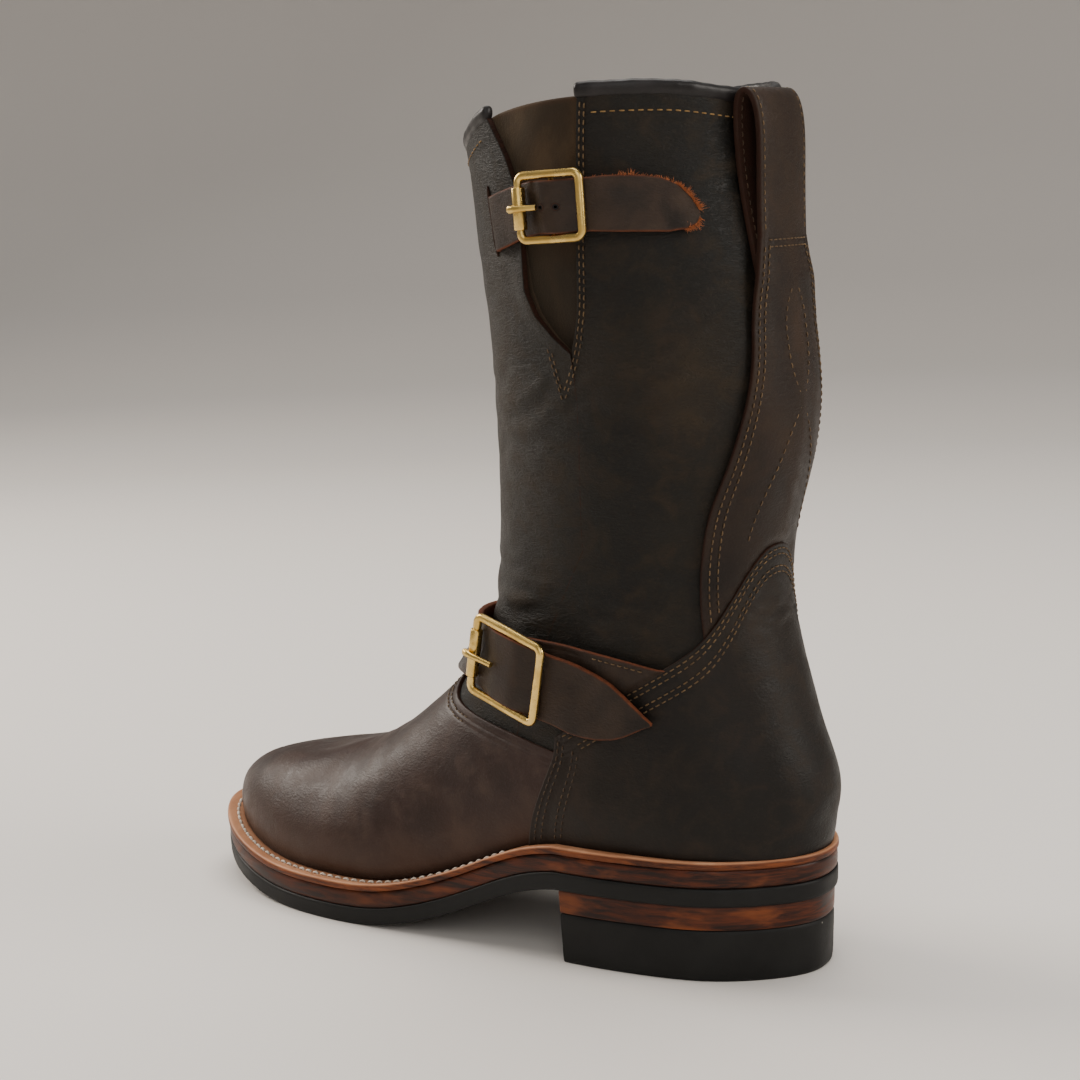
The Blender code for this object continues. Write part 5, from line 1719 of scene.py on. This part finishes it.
def make_stay_and_loop():
    """One strip up the back seam that folds over at the collar into a finger loop"""
    stay_z = np.concatenate([np.linspace(110, 176, 48), np.linspace(176, 262, 60)[1:]])
    rows, tints, shade = [], [], []
    for z0 in stay_z:
        half = float(stay_half(z0))
        x, t, tint = band_ring(half, STAY_THICKNESS, STAY_SEAM, across=15)
        z = z0 + 0 * x
        ridge = 0.5 * np.exp(-(x / 3.0) ** 2) * float(soft_step(252, 236, z0)) \
            * float(soft_step(140, 165, z0))
        outer = stay_out(x, z) + ridge
        rows.append(stay_surface(x, z, outer - STAY_THICKNESS + t))
        tints.append(tint)
        # shade holds a lighter tone here: painted highlight and pale wear along the stay's raised
        # middle
        shade.append(0.5 * np.exp(-(x / 3.5) ** 2))
    out_at = spline(range(len(LOOP)), column(LOOP_COLUMNS, LOOP, "out"))
    height_at = spline(range(len(LOOP)), column(LOOP_COLUMNS, LOOP, "height"))
    steps = np.linspace(0.06, len(LOOP) - 1, 96)
    out, height = out_at(steps), height_at(steps)
    along_out = np.gradient(out)
    along_up = np.gradient(height)
    size = np.hypot(along_out, along_up)
    for k in range(len(steps)):
        x, t, tint = band_ring(LOOP_HALF_WIDTH, LOOP_THICKNESS, LOOP_SEAM, across=15)
        side = t - LOOP_THICKNESS / 2
        z = height[k] - along_out[k] / size[k] * side
        shift = out[k] + along_up[k] / size[k] * side
        face = back_point(x, np.minimum(z, LOOP_FACE_TOP))
        rows.append(np.stack([x, face[1] + shift, z + 0 * x], -1))
        tints.append(tint)
        # the loop gets an even lighter tone
        shade.append(0.25 + 0 * x)
    grid = np.array(rows)
    blotch = 0.5 + 0.5 * noise3(grid[..., 0], grid[..., 1], grid[..., 2], 26.0, 51)
    light = np.array(shade) * 0.5 + 0.18 * blotch
    # darker towards the bottom of the stay
    low = 0.45 * (1 - soft_step(150.0, 215.0, grid[..., 2]))
    band("back_strip", grid, np.array(tints), STAY_LEATHER,
         ("back_stay", "pull_loop"), light=light, warm=0.35 + 0.3 * blotch, dark=low)
    stay_stitches(out, height, along_out / size, along_up / size)


# Decorative line down the stay: height and distance from the middle
DECOR = (
    (246.5, 0.6),
    (240.0, 4.2),
    (228.0, 6.2),
    (216.0, 4.6),
    (206.0, 0.0),
    (198.0, -4.6),
    (188.0, -8.8),
    (176.0, -12.6),
    (166.0, -14.6),
    (156.0, -15.6),
)


def stay_row(kind, x, z, **sizes):
    normal = normals_at(back_point(x, z))
    stitch_row(kind, stay_surface(x, z, stay_out(x, z)), normal, **sizes)


def stay_stitches(out, height, turn_out, turn_up):
    """Seams, cross rows and decorative lines of the stay, and the loop's edge rows"""
    z = np.linspace(261.0, 118.0, 420)
    for row in STAY_SEAM:
        for way in (-1, 1):
            x = way * (stay_half(z) - row)
            turn = np.abs(turn_of(*back_point(x, z)))
            keep = z > counter_height(turn) + 1.0
            stay_row("tan", x[keep], z[keep], lift=0.0, length=2.0, gap=0.8)
    for z0 in CROSS_ROWS:
        x = np.linspace(-12.6, 12.6, 60)
        stay_row("tan", x, 0 * x + z0, length=1.7, gap=0.7, lift=0.12)
    decor_x = spline(*zip(*DECOR[::-1]))
    z = np.linspace(DECOR[0][0], DECOR[-1][0], 260)
    for way in (-1, 1):
        stay_row("tan", way * decor_x(z), z, lift=0.02, length=2.3, gap=1.0)
    for way in (-1, 1):
        x = way * (LOOP_HALF_WIDTH - LOOP_SEAM[0]) + 0 * out
        for side, sign in ((LOOP_THICKNESS / 2 - 0.2, 1), (-LOOP_THICKNESS / 2, -1)):
            z_side = height - turn_out * side
            face = back_point(x, np.minimum(z_side, LOOP_FACE_TOP))
            path = np.stack([x, face[1] + out + turn_up * side, z_side], -1)
            normal = np.stack([0 * x, turn_up, -turn_out], -1) * sign
            stitch_row("tan" if sign > 0 else "brown", path, normal, lift=0.0, length=2.1,
                       gap=0.8)


def smooth_strap(rows, which, steps):
    """The part's strap line with its corners eased"""
    found = list(strap_line(rows, which, steps))
    kernel = np.array([1.0, 2.0, 3.0, 2.0, 1.0]) / 9
    for k in (2, 3, 4):
        padded = np.concatenate([[found[k][0]] * 2, found[k], [found[k][-1]] * 2])
        eased = np.convolve(padded, kernel, "valid")
        if k == 2:
            near = np.minimum(np.arange(steps), np.arange(steps)[::-1]) < 3
            eased = np.where(near, found[k], eased)
        found[k] = eased
    return found


def strap_grid(line, thickness, which, lean=0.0, seams=(), sink=None):
    """Sections of a strap along its line; sink lowers it where another piece covers it"""
    turn, height, half, lift, tilt = line
    full = strap_half_width(which)
    grid, tints = [], []
    for k in range(len(turn)):
        x, t, tint = band_ring(float(half[k]), thickness, seams)
        share = x / half[k]
        z = height[k] + x
        face = wall_point(turn[k] - lean * half[k] / full * share, z)
        low = lift[k] + tilt[k] * share
        if sink is not None:
            low = sink(face, low)
        grid.append(lifted(face, low + t))
        tints.append(tint)
    return np.array(grid), np.array(tints)


def make_strap_piece(name, line, thickness, node, which, light=0.25, **shape):
    grid, tints = strap_grid(line, thickness, which, **shape)
    x, y, z = grid[..., 0], grid[..., 1], grid[..., 2]
    blotch = 0.5 + 0.5 * noise3(x, y, z, 18.0, 61)
    band(name, grid, tints, STRAP_LEATHER, (node,), light=light * blotch,
         warm=0.2 + 0.3 * blotch)


def under_counter(face, low):
    """The chape's rear end lies under the counter's seam"""
    turn = np.abs(turn_of(*face))
    above = face[2] - counter_height(turn)
    return 0.05 + (low - 0.05) * soft_step(-2.0, 1.5, above)


# Slit at the top strap's front end: turn, and heights of its two ends
SLIT_TURN = 115.6
SLIT = (259.5, 284.5)
SLIT_SIDES = 12
# Instep chape: its seam's distance from the edge, the turn where that seam ends, and place and
# height of the rear end that lies under the counter
CHAPE_SEAM = 2.2
CHAPE_ROW_END = 96.0
CHAPE_REAR = (-2.05, -7.6)


def make_straps():
    """Both straps and chapes; the top strap's front end dips into its slit"""
    line = smooth_strap(TOP_STRAP, "top", 130)
    into = np.linspace(0, 1, 6)[1:]
    line = [np.concatenate([v, v[-1] + s * into]) for v, s in
            zip(line, (1.2, -0.2, 0.0, 0.0, 0.0))]
    line[3] = line[3] - 4.2 * soft_step(SLIT_TURN - 2.4, SLIT_TURN + 0.6, line[0])
    make_strap_piece("strap_top", line, TOP_STRAP_THICKNESS, "top_strap", "top", light=0.45)
    chape = smooth_strap(TOP_CHAPE, "top", 24)
    make_strap_piece("chape_top", chape, TOP_CHAPE_THICKNESS, "top_chape", "top")
    line = smooth_strap(INSTEP_STRAP, "instep", 260)
    make_strap_piece("strap_instep", line, INSTEP_STRAP_THICKNESS, "instep_strap", "instep",
                     lean=INSTEP_STRAP_LEAN, light=0.35)
    rows = ((*CHAPE_REAR, *INSTEP_CHAPE[0][2:]),) + INSTEP_CHAPE
    line = smooth_strap(rows, "instep", 60)
    make_strap_piece("chape_instep", line, INSTEP_CHAPE_THICKNESS, "instep_chape", "instep",
                     lean=INSTEP_STRAP_LEAN, seams=(CHAPE_SEAM,), light=0.15,
                     sink=under_counter)
    turn, height, half, lift, _ = strap_line(rows, "instep", 160)
    share = (half - CHAPE_SEAM) / half
    face = wall_point(turn - INSTEP_STRAP_LEAN * share, height + half - CHAPE_SEAM)
    keep = (turn < CHAPE_ROW_END) & (face[2] > counter_height(np.abs(turn_of(*face))) + 1.5)
    face = tuple(v[keep] for v in face)
    face_row("tan", face, (lift + INSTEP_CHAPE_THICKNESS)[keep] - 0.12, length=1.9, gap=0.8)
    make_slit()
    make_holes()
    make_fuzz()


def make_slit():
    """Raised raw lip of the slit from which the top strap comes"""
    z = np.linspace(SLIT[0], SLIT[1], 40)
    share = (z - SLIT[0]) / (SLIT[1] - SLIT[0])
    swell = np.sqrt(np.clip(4 * share * (1 - share), 0.004, 1))
    turn = SLIT_TURN + 1.0 - 0.6 * swell + 0.25 * np.sin(share * 9)
    angles = ring_angles(SLIT_SIDES)
    grid = []
    for k in range(len(z)):
        across = 0.85 * swell[k] * np.cos(angles) / 0.98
        face = wall_point(turn[k] + across, z[k] + 0 * angles)
        grid.append(lifted(face, 0.2 + 1.1 * swell[k] * np.sin(angles)))
    grid = np.array(grid)
    raw = np.broadcast_to(0.65 + 0.35 * np.cos(angles + math.pi), grid.shape[:2])
    band("strap_slit", grid, raw, SHAFT_LEATHER, (), light=0.5)


def strap_top_point(line, turn_at, across, thickness, lift_more=0.0):
    """A point on a strap's face and the normal of the last below it"""
    turn, height, half, lift, tilt = line
    order = np.argsort(turn)
    values = [np.interp(turn_at, turn[order], v[order]) for v in (height, half, lift, tilt)]
    share = across / values[1]
    face = wall_point(turn_at, values[0] + across)
    return lifted(face, values[2] + values[3] * share + thickness + lift_more), normals_at(face)


# Holes: their turns, radius and rise of the rings from rim to middle, and points in a ring
HOLES = (85.2, 79.8)
HOLE_RINGS = ((1.5, 0.02), (1.15, 0.16), (0.9, 0.10), (0.45, 0.10))
HOLE_SIDES = 20


def make_holes():
    """Punched holes in the top strap, painted dark inside as shade, with a rubbed raw rim"""
    line = smooth_strap(TOP_STRAP, "top", 260)
    points, faces = [], []
    for centre in HOLES:
        base = len(points)
        for radius, rise in HOLE_RINGS:
            angle = ring_angles(HOLE_SIDES)
            ring, _ = strap_top_point(line, centre + radius * np.cos(angle),
                                      radius * np.sin(angle), TOP_STRAP_THICKNESS, rise)
            points.extend(ring)
        faces.extend(quads(len(HOLE_RINGS), HOLE_SIDES, wrap=True, start=base))
        faces.append(list(range(len(points) - HOLE_SIDES, len(points))))
    level = np.tile(np.repeat(np.arange(len(HOLE_RINGS)), HOLE_SIDES), len(HOLES))
    # painted shade inside each hole
    tone = tone_of(level.shape, raw=np.where(level == 1, 0.35, 0.0),
                   dark=np.where(level >= 2, 1.0, 0.2))
    made = piece("strap_holes", np.array(points), faces, HOLE_LEATHER, tone)
    orient(made)


def make_fuzz():
    """Loose fibres along the raw edge and tip of the top strap's tail"""
    rng = np.random.default_rng(17)
    line = smooth_strap(TOP_STRAP, "top", 260)
    turn, _, half, _, _ = line
    order = np.argsort(turn)
    tip = turn.min()
    parts = []
    for k in range(900):
        along = rng.uniform(0, 1)
        if k % 3:
            turn_at = tip + 0.2 + 36 * along ** 1.9
            sign = 1.0
        else:
            turn_at = tip + 0.1 + 6 * along
            sign = rng.choice([-1.0, 1.0])
        dense = math.exp(-((turn_at - tip) / 9.0) ** 2)
        patch = math.exp(-((turn_at - tip - 22.0) / 2.4) ** 2)
        if rng.uniform() > 0.22 + 0.78 * max(dense, patch):
            continue
        half_at = np.interp(turn_at, turn[order], half[order])
        across = sign * (half_at - rng.uniform(0.0, 0.3))
        out = rng.uniform(0.3, TOP_STRAP_THICKNESS)
        start, normal = strap_top_point(line, np.array(turn_at), np.array(across), out)
        up = np.array([0.0, 0.0, sign])
        back = np.array([-0.15, 0.8, -0.1]) * (1.2 if turn_at < tip + 8 else 0.2)
        way = up * rng.uniform(0.4, 1.0) + back + normal * rng.uniform(-0.2, 0.7)
        way = way + rng.normal(size=3) * 0.45
        way = way / np.linalg.norm(way)
        length = rng.uniform(0.6, 1.9) * (0.55 + 0.75 * max(dense, patch))
        bend = rng.normal(size=3) * 0.5
        radius = rng.uniform(0.07, 0.15)
        side = unit(np.cross(way, normal))
        other = np.cross(way, side)
        fibre = []
        for share, size in ((0.0, 1.0), (0.4, 0.9), (0.75, 0.7), (1.0, 0.35)):
            centre = start + way * length * share + bend * length * share ** 2 * 0.6
            for angle in (0.0, 2.1, 4.2):
                ring = side * math.cos(angle) + other * math.sin(angle)
                fibre.append(centre + ring * radius * size)
        parts.append(fibre)
    faces = repeated(quads(4, 3, wrap=True), len(parts), 12)
    piece("strap_fuzz", np.array(parts), faces, FUZZ)


# Binding and gusset

BINDING_SIDES = 22


def make_binding_piece():
    """Rolled binding round the collar with shrunken ends at the V"""
    turns = np.linspace(float(vee_rear(2.0)) + 1.0, float(vee_front(2.0)) - 360 - 0.4, 420)
    top = wall_top(turns)
    face = wall_point(turns, top)
    slope = np.stack(last_slope(*face), -1)
    slope[:, 2] = 0
    normal = unit(slope)
    along = run_length(np.stack(face, -1), 0)
    end = np.minimum(along, along[-1] - along)
    shrink = 0.72 + 0.28 * np.sqrt(np.clip(end / 2.2, 0, 1) * (2 - np.clip(end / 2.2, 0, 1)))
    wave = 1 + 0.035 * np.sin(along * 0.35) + 0.03 * np.sin(along * 0.9 + 2)
    sections = []
    middle = (BINDING_OUT - BINDING_IN) / 2
    half_width = (BINDING_OUT + BINDING_IN) / 2
    for k in range(BINDING_SIDES):
        angle = 2 * math.pi * k / BINDING_SIDES
        c, s = math.cos(angle), math.sin(angle)
        across = middle + half_width * math.copysign(abs(c) ** 0.8, c) * shrink * wave
        low = -1.4 if s < 0 else 0.0
        rise = BINDING_HEIGHT / 2 + (BINDING_HEIGHT / 2 * s * shrink * wave) + low * abs(s)
        across = np.clip(across, -BINDING_IN, BINDING_OUT + 0.25)
        ring = np.stack(face, -1) + normal * across[:, None]
        ring[:, 2] = top + rise
        sections.append(ring)
    grid = np.stack(sections, 1)
    # painted shade on the roll's underside, where it meets the wall
    low = np.exp(-((ring_angles(BINDING_SIDES) - 4.4) / 0.5) ** 2)
    low = np.broadcast_to(low, grid.shape[:2])
    band("collar_roll", grid, 0 * low, BINDING_LEATHER, ("collar_binding",),
         light=0.10, dark=0.5 * low)


def make_gusset_piece():
    """Soft leather behind the V, with painted shade that deepens towards its foot"""
    levels = np.concatenate([np.linspace(GUSSET_START, 1.985, 60), [1.992, 1.998]])
    shares = np.linspace(0, 1, 46)
    level = levels[:, None] + 0 * shares
    rear = vee_rear(level) - GUSSET_TUCK
    front = vee_front(level) + GUSSET_TUCK
    face = upper_face(rear + (front - rear) * shares, level)
    wave = 0.35 * noise3(*face, 30.0, 71)
    height = wave - WALL - GAP - 0.3
    # painted shade, deepest low in the V
    shade = 0.8 - 0.65 * soft_step(250.0, 286.0, face[2])
    tone = tone_of(level.shape, raw=np.where(level > 1.99, 0.15, 0.0), dark=shade)
    normal = normals_at(face)
    outer = np.stack(face, -1) + normal * height[..., None]
    inner = outer - normal * GUSSET_THICKNESS
    grid = np.concatenate([outer, inner[::-1]])
    tone = np.concatenate([tone, tone[::-1]])
    piece("vee_gusset", grid, quads(*grid.shape[:2]), GUSSET_LEATHER, tone,
          ("gusset",), closed=True)


# Buckles

STRAP_OF = {"top": TOP_STRAP, "instep": INSTEP_STRAP}
FRAME_WIDE = {"top": 1.45, "instep": 1.65}
FRAME_TALL = {"top": 1.25, "instep": 1.30}
FRAME_NECK = 1.15
PATH_STEP = 1.6
# Prong: sizes in the plane and out of it, from its tip over the roller to its hidden end
PRONG_SIZES = ((0.45, 0.5), (0.95, 0.8), (1.35, 1.0), (1.2, 1.0), (1.0, 1.0), (0.95, 0.95),
               (0.9, 0.9))


def tube(path, sizes, sides, closed, up=(0, 0, 1)):
    """Oval sections along a path in a buckle's plane; sizes are in the plane and out of it"""
    path = np.asarray(path, float)
    if closed:
        ahead = np.roll(path, -1, 0) - np.roll(path, 1, 0)
    else:
        ahead = np.gradient(path, axis=0)
    ahead = unit(ahead)
    side = unit(np.cross(ahead, np.array(up, float)))
    other = np.cross(side, ahead)
    angles = ring_angles(sides)
    wide = np.sign(np.cos(angles)) * np.abs(np.cos(angles)) ** 0.85
    tall = np.sign(np.sin(angles)) * np.abs(np.sin(angles)) ** 0.85
    sizes = np.broadcast_to(np.asarray(sizes, float), (len(path), 2))
    return (path[:, None] + side[:, None] * (wide * sizes[:, :1])[..., None]
            + other[:, None] * (tall * sizes[:, 1:])[..., None])


def buckle_piece(name, rings, which, node, closed):
    """A brass piece given in its buckle's own axes"""
    axes, middle = buckle_place(which, STRAP_OF[which])
    points = rings @ axes + middle
    rows, columns = points.shape[:2]
    if closed:
        points = np.concatenate([points, points[:1]])
        faces = quads(rows + 1, columns, wrap=True)
    else:
        faces = quads(rows, columns, wrap=True, caps=True)
    made = piece(name, points, faces, BRASS, None, (node,) if node else (),
                 merge=closed, closed=True)
    if not closed:
        made.data.set_sharp_from_angle(angle=math.radians(55))


def rounded_path(length, height, corner, steps):
    """Rectangle with round corners and points close together all round"""
    points = []
    for quarter, (sx, sy) in enumerate(((1, 1), (-1, 1), (-1, -1), (1, -1))):
        for k in range(steps + 1):
            angle = math.radians(90 * quarter + 90 * k / steps)
            points.append((sx * (length / 2 - corner) + math.cos(angle) * corner,
                           sy * (height / 2 - corner) + math.sin(angle) * corner, 0.0))
    dense = []
    for a, b in zip(points, points[1:] + points[:1]):
        a, b = np.array(a), np.array(b)
        count = max(1, int(np.linalg.norm(b - a) / PATH_STEP))
        for k in range(count):
            dense.append(a + (b - a) * k / count)
    return np.array(dense)


def make_buckle_pieces(which):
    """Frame, bar, sleeve and prong of a buckle"""
    buckle = BUCKLES[which]
    wide, tall = FRAME_WIDE[which], FRAME_TALL[which]
    length = buckle["length"] - 2 * wide
    height = buckle["height"] - 2 * wide
    path = rounded_path(length, height, BUCKLE_CORNER - 0.6, 8)
    left = -length / 2
    beside = (path[:, 0] < left + 0.5) & (np.abs(path[:, 1]) < buckle["roller"] / 2 + 0.6)
    sizes = np.where(beside[:, None], [[FRAME_NECK, FRAME_NECK]], [[wide, tall]])
    wobble = 1 + 0.05 * np.sin(np.arange(len(path)) * 0.37 + 1.0)
    buckle_piece(f"{which}_frame", tube(path, sizes * wobble[:, None], 16, True), which,
                 f"{which}_buckle", True)
    bar = [(0, -height / 2, 0), (0, BAR_END - height / 2, -BAR_DROP),
           (0, height / 2 - BAR_END, -BAR_DROP), (0, height / 2, 0)]
    buckle_piece(f"{which}_bar", tube(bar, (BAR_WIRE, BAR_WIRE), 12, False, (1, 0, 0)), which,
                 None, False)
    half = buckle["roller"] / 2
    y = np.array([-half, -half + 0.15, -half + 0.4, 0.0, half - 0.4, half - 0.15, half])
    size = ROLLER_RADIUS - np.array([0.35, 0.12, 0, 0, 0, 0.12, 0.35])
    path = np.stack([0 * y + left, y, 0 * y], -1)
    buckle_piece(f"{which}_sleeve", tube(path, np.stack([size, size], -1), 24, False), which,
                 f"{which}_roller", False)
    rest = ROLLER_RADIUS + PRONG_RADIUS + 0.1
    tip = left - ROLLER_RADIUS - 0.9
    way = np.array([(tip, 0, rest - 1.1), (tip + 0.35, 0, rest - 0.75), (tip + 1.1, 0, rest - 0.4),
                    (left - 0.4, 0, rest), (left + 2.2, 0, rest - 0.1),
                    (left + 4.6, 0, rest - 0.55), (tip + buckle["prong"], 0, rest - 1.2)])
    size = PRONG_RADIUS * np.array(PRONG_SIZES)
    fine = np.linspace(0, 6, 40)
    way = np.stack([np.interp(fine, range(7), way[:, k]) for k in range(3)], -1)
    size = np.stack([np.interp(fine, range(7), size[:, k]) for k in range(2)], -1)
    buckle_piece(f"{which}_tongue", tube(way, size, 14, False), which, f"{which}_prong", False)


# Stage, light and camera

CAMERA = {"azimuth": 128.2, "elevation": 8.9, "target": (-49.5, -162.7, 139.8),
          "distance": 900.0, "roll": -2.6, "focal": 2175.1, "frame": 1080.0, "sensor": 36.0}


def make_camera():
    azimuth = math.radians(CAMERA["azimuth"])
    elevation = math.radians(CAMERA["elevation"])
    back = Vector((math.sin(azimuth) * math.cos(elevation),
                   -math.cos(azimuth) * math.cos(elevation), math.sin(elevation)))
    right = (-back).cross(Vector((0, 0, 1))).normalized()
    up = right.cross(-back)
    roll = math.radians(CAMERA["roll"])
    side = right * math.cos(roll) + up * math.sin(roll)
    top = up * math.cos(roll) - right * math.sin(roll)
    place = (Vector(CAMERA["target"]) + back * CAMERA["distance"] + Vector(SHIFT)) * MM
    data = bpy.data.cameras.new("camera")
    data.sensor_width = CAMERA["sensor"]
    data.lens = CAMERA["focal"] / CAMERA["frame"] * CAMERA["sensor"]
    data.clip_start = 0.01
    camera = bpy.data.objects.new("camera", data)
    matrix = Matrix((side, top, back)).transposed().to_4x4()
    matrix.translation = place
    camera.matrix_world = matrix
    bpy.context.scene.collection.objects.link(camera)
    bpy.context.scene.camera = camera


# Lights: name, place in metres, size, power and colour; all look at the boot's middle
LIGHT_TARGET = (0.0, 0.0, 0.13)
SKY_STRENGTH = 0.34
LIGHTS = (
    ("key", (0.20, -1.55, 1.05), 1.0, 30.0, (1.0, 0.93, 0.84)),
    ("fill", (1.20, 0.70, 0.90), 1.6, 9.0, (1.0, 0.98, 0.95)),
    ("top", (-0.35, -0.10, 1.70), 1.3, 21.0, (1.0, 0.97, 0.93)),
    ("rim", (-0.30, 1.35, 0.75), 0.8, 12.0, (1.0, 0.95, 0.88)),
)


def make_lights():
    for name, place, size, power, colour in LIGHTS:
        data = bpy.data.lights.new(name, "AREA")
        data.shape = "DISK"
        data.size = size
        data.energy = power
        data.color = colour
        light = bpy.data.objects.new(name, data)
        light.location = place
        way = Vector(LIGHT_TARGET) - Vector(place)
        light.rotation_euler = way.to_track_quat("-Z", "Y").to_euler()
        bpy.context.scene.collection.objects.link(light)
    world = bpy.data.worlds.new("studio")
    world.use_nodes = True
    tree = world.node_tree
    way = add(tree, "ShaderNodeTexCoord").outputs["Generated"]
    sky = add(tree, "ShaderNodeSeparateXYZ", {0: way})
    rise = span(tree, sky.outputs["Z"], 0.02, 0.75)
    colour = mix(tree, rise, (0.42, 0.385, 0.35), (0.80, 0.785, 0.77))
    tree.links.new(colour, tree.nodes["Background"].inputs["Color"])
    tree.nodes["Background"].inputs["Strength"].default_value = SKY_STRENGTH
    bpy.context.scene.world = world


# Floor: radius and height of its rings in metres
FLOOR_RIM = ((1.6, 0.0), (2.2, 0.03), (2.7, 0.14), (3.1, 0.36), (3.4, 0.72), (3.5, 1.15))
FLOOR_SIDES = 64


def make_floor():
    """Pale paper floor that curves up far behind the boot"""
    angles = ring_angles(FLOOR_SIDES)
    rings = [np.stack([r * np.cos(angles), r * np.sin(angles), 0 * angles + z], -1)
             for r, z in FLOOR_RIM]
    faces = quads(len(FLOOR_RIM), FLOOR_SIDES, wrap=True) + [list(range(FLOOR_SIDES))]
    mesh = bpy.data.meshes.new("floor")
    mesh.from_pydata(np.concatenate(rings).tolist(), [], faces)
    mesh.polygons.foreach_set("use_smooth", [True] * len(mesh.polygons))
    floor = bpy.data.objects.new("floor", mesh)
    material, _, shader = shader_of("floor_paper", 0.8, specular=0.2)
    shader.inputs["Base Color"].default_value = (0.76, 0.72, 0.68, 1.0)
    mesh.materials.append(material)
    bpy.context.scene.collection.objects.link(floor)


make_sole()
make_shaft()
make_vamp()
make_counter_piece()
make_stay_and_loop()
make_straps()
make_binding_piece()
make_gusset_piece()
for kind in BUCKLES:
    make_buckle_pieces(kind)
make_stitches("tan", TAN_THREAD)
make_stitches("gold", GOLD_THREAD)
make_stitches("brown", BROWN_THREAD)
make_stitches("welt", WELT_THREAD)
make_floor()
make_lights()
make_camera()
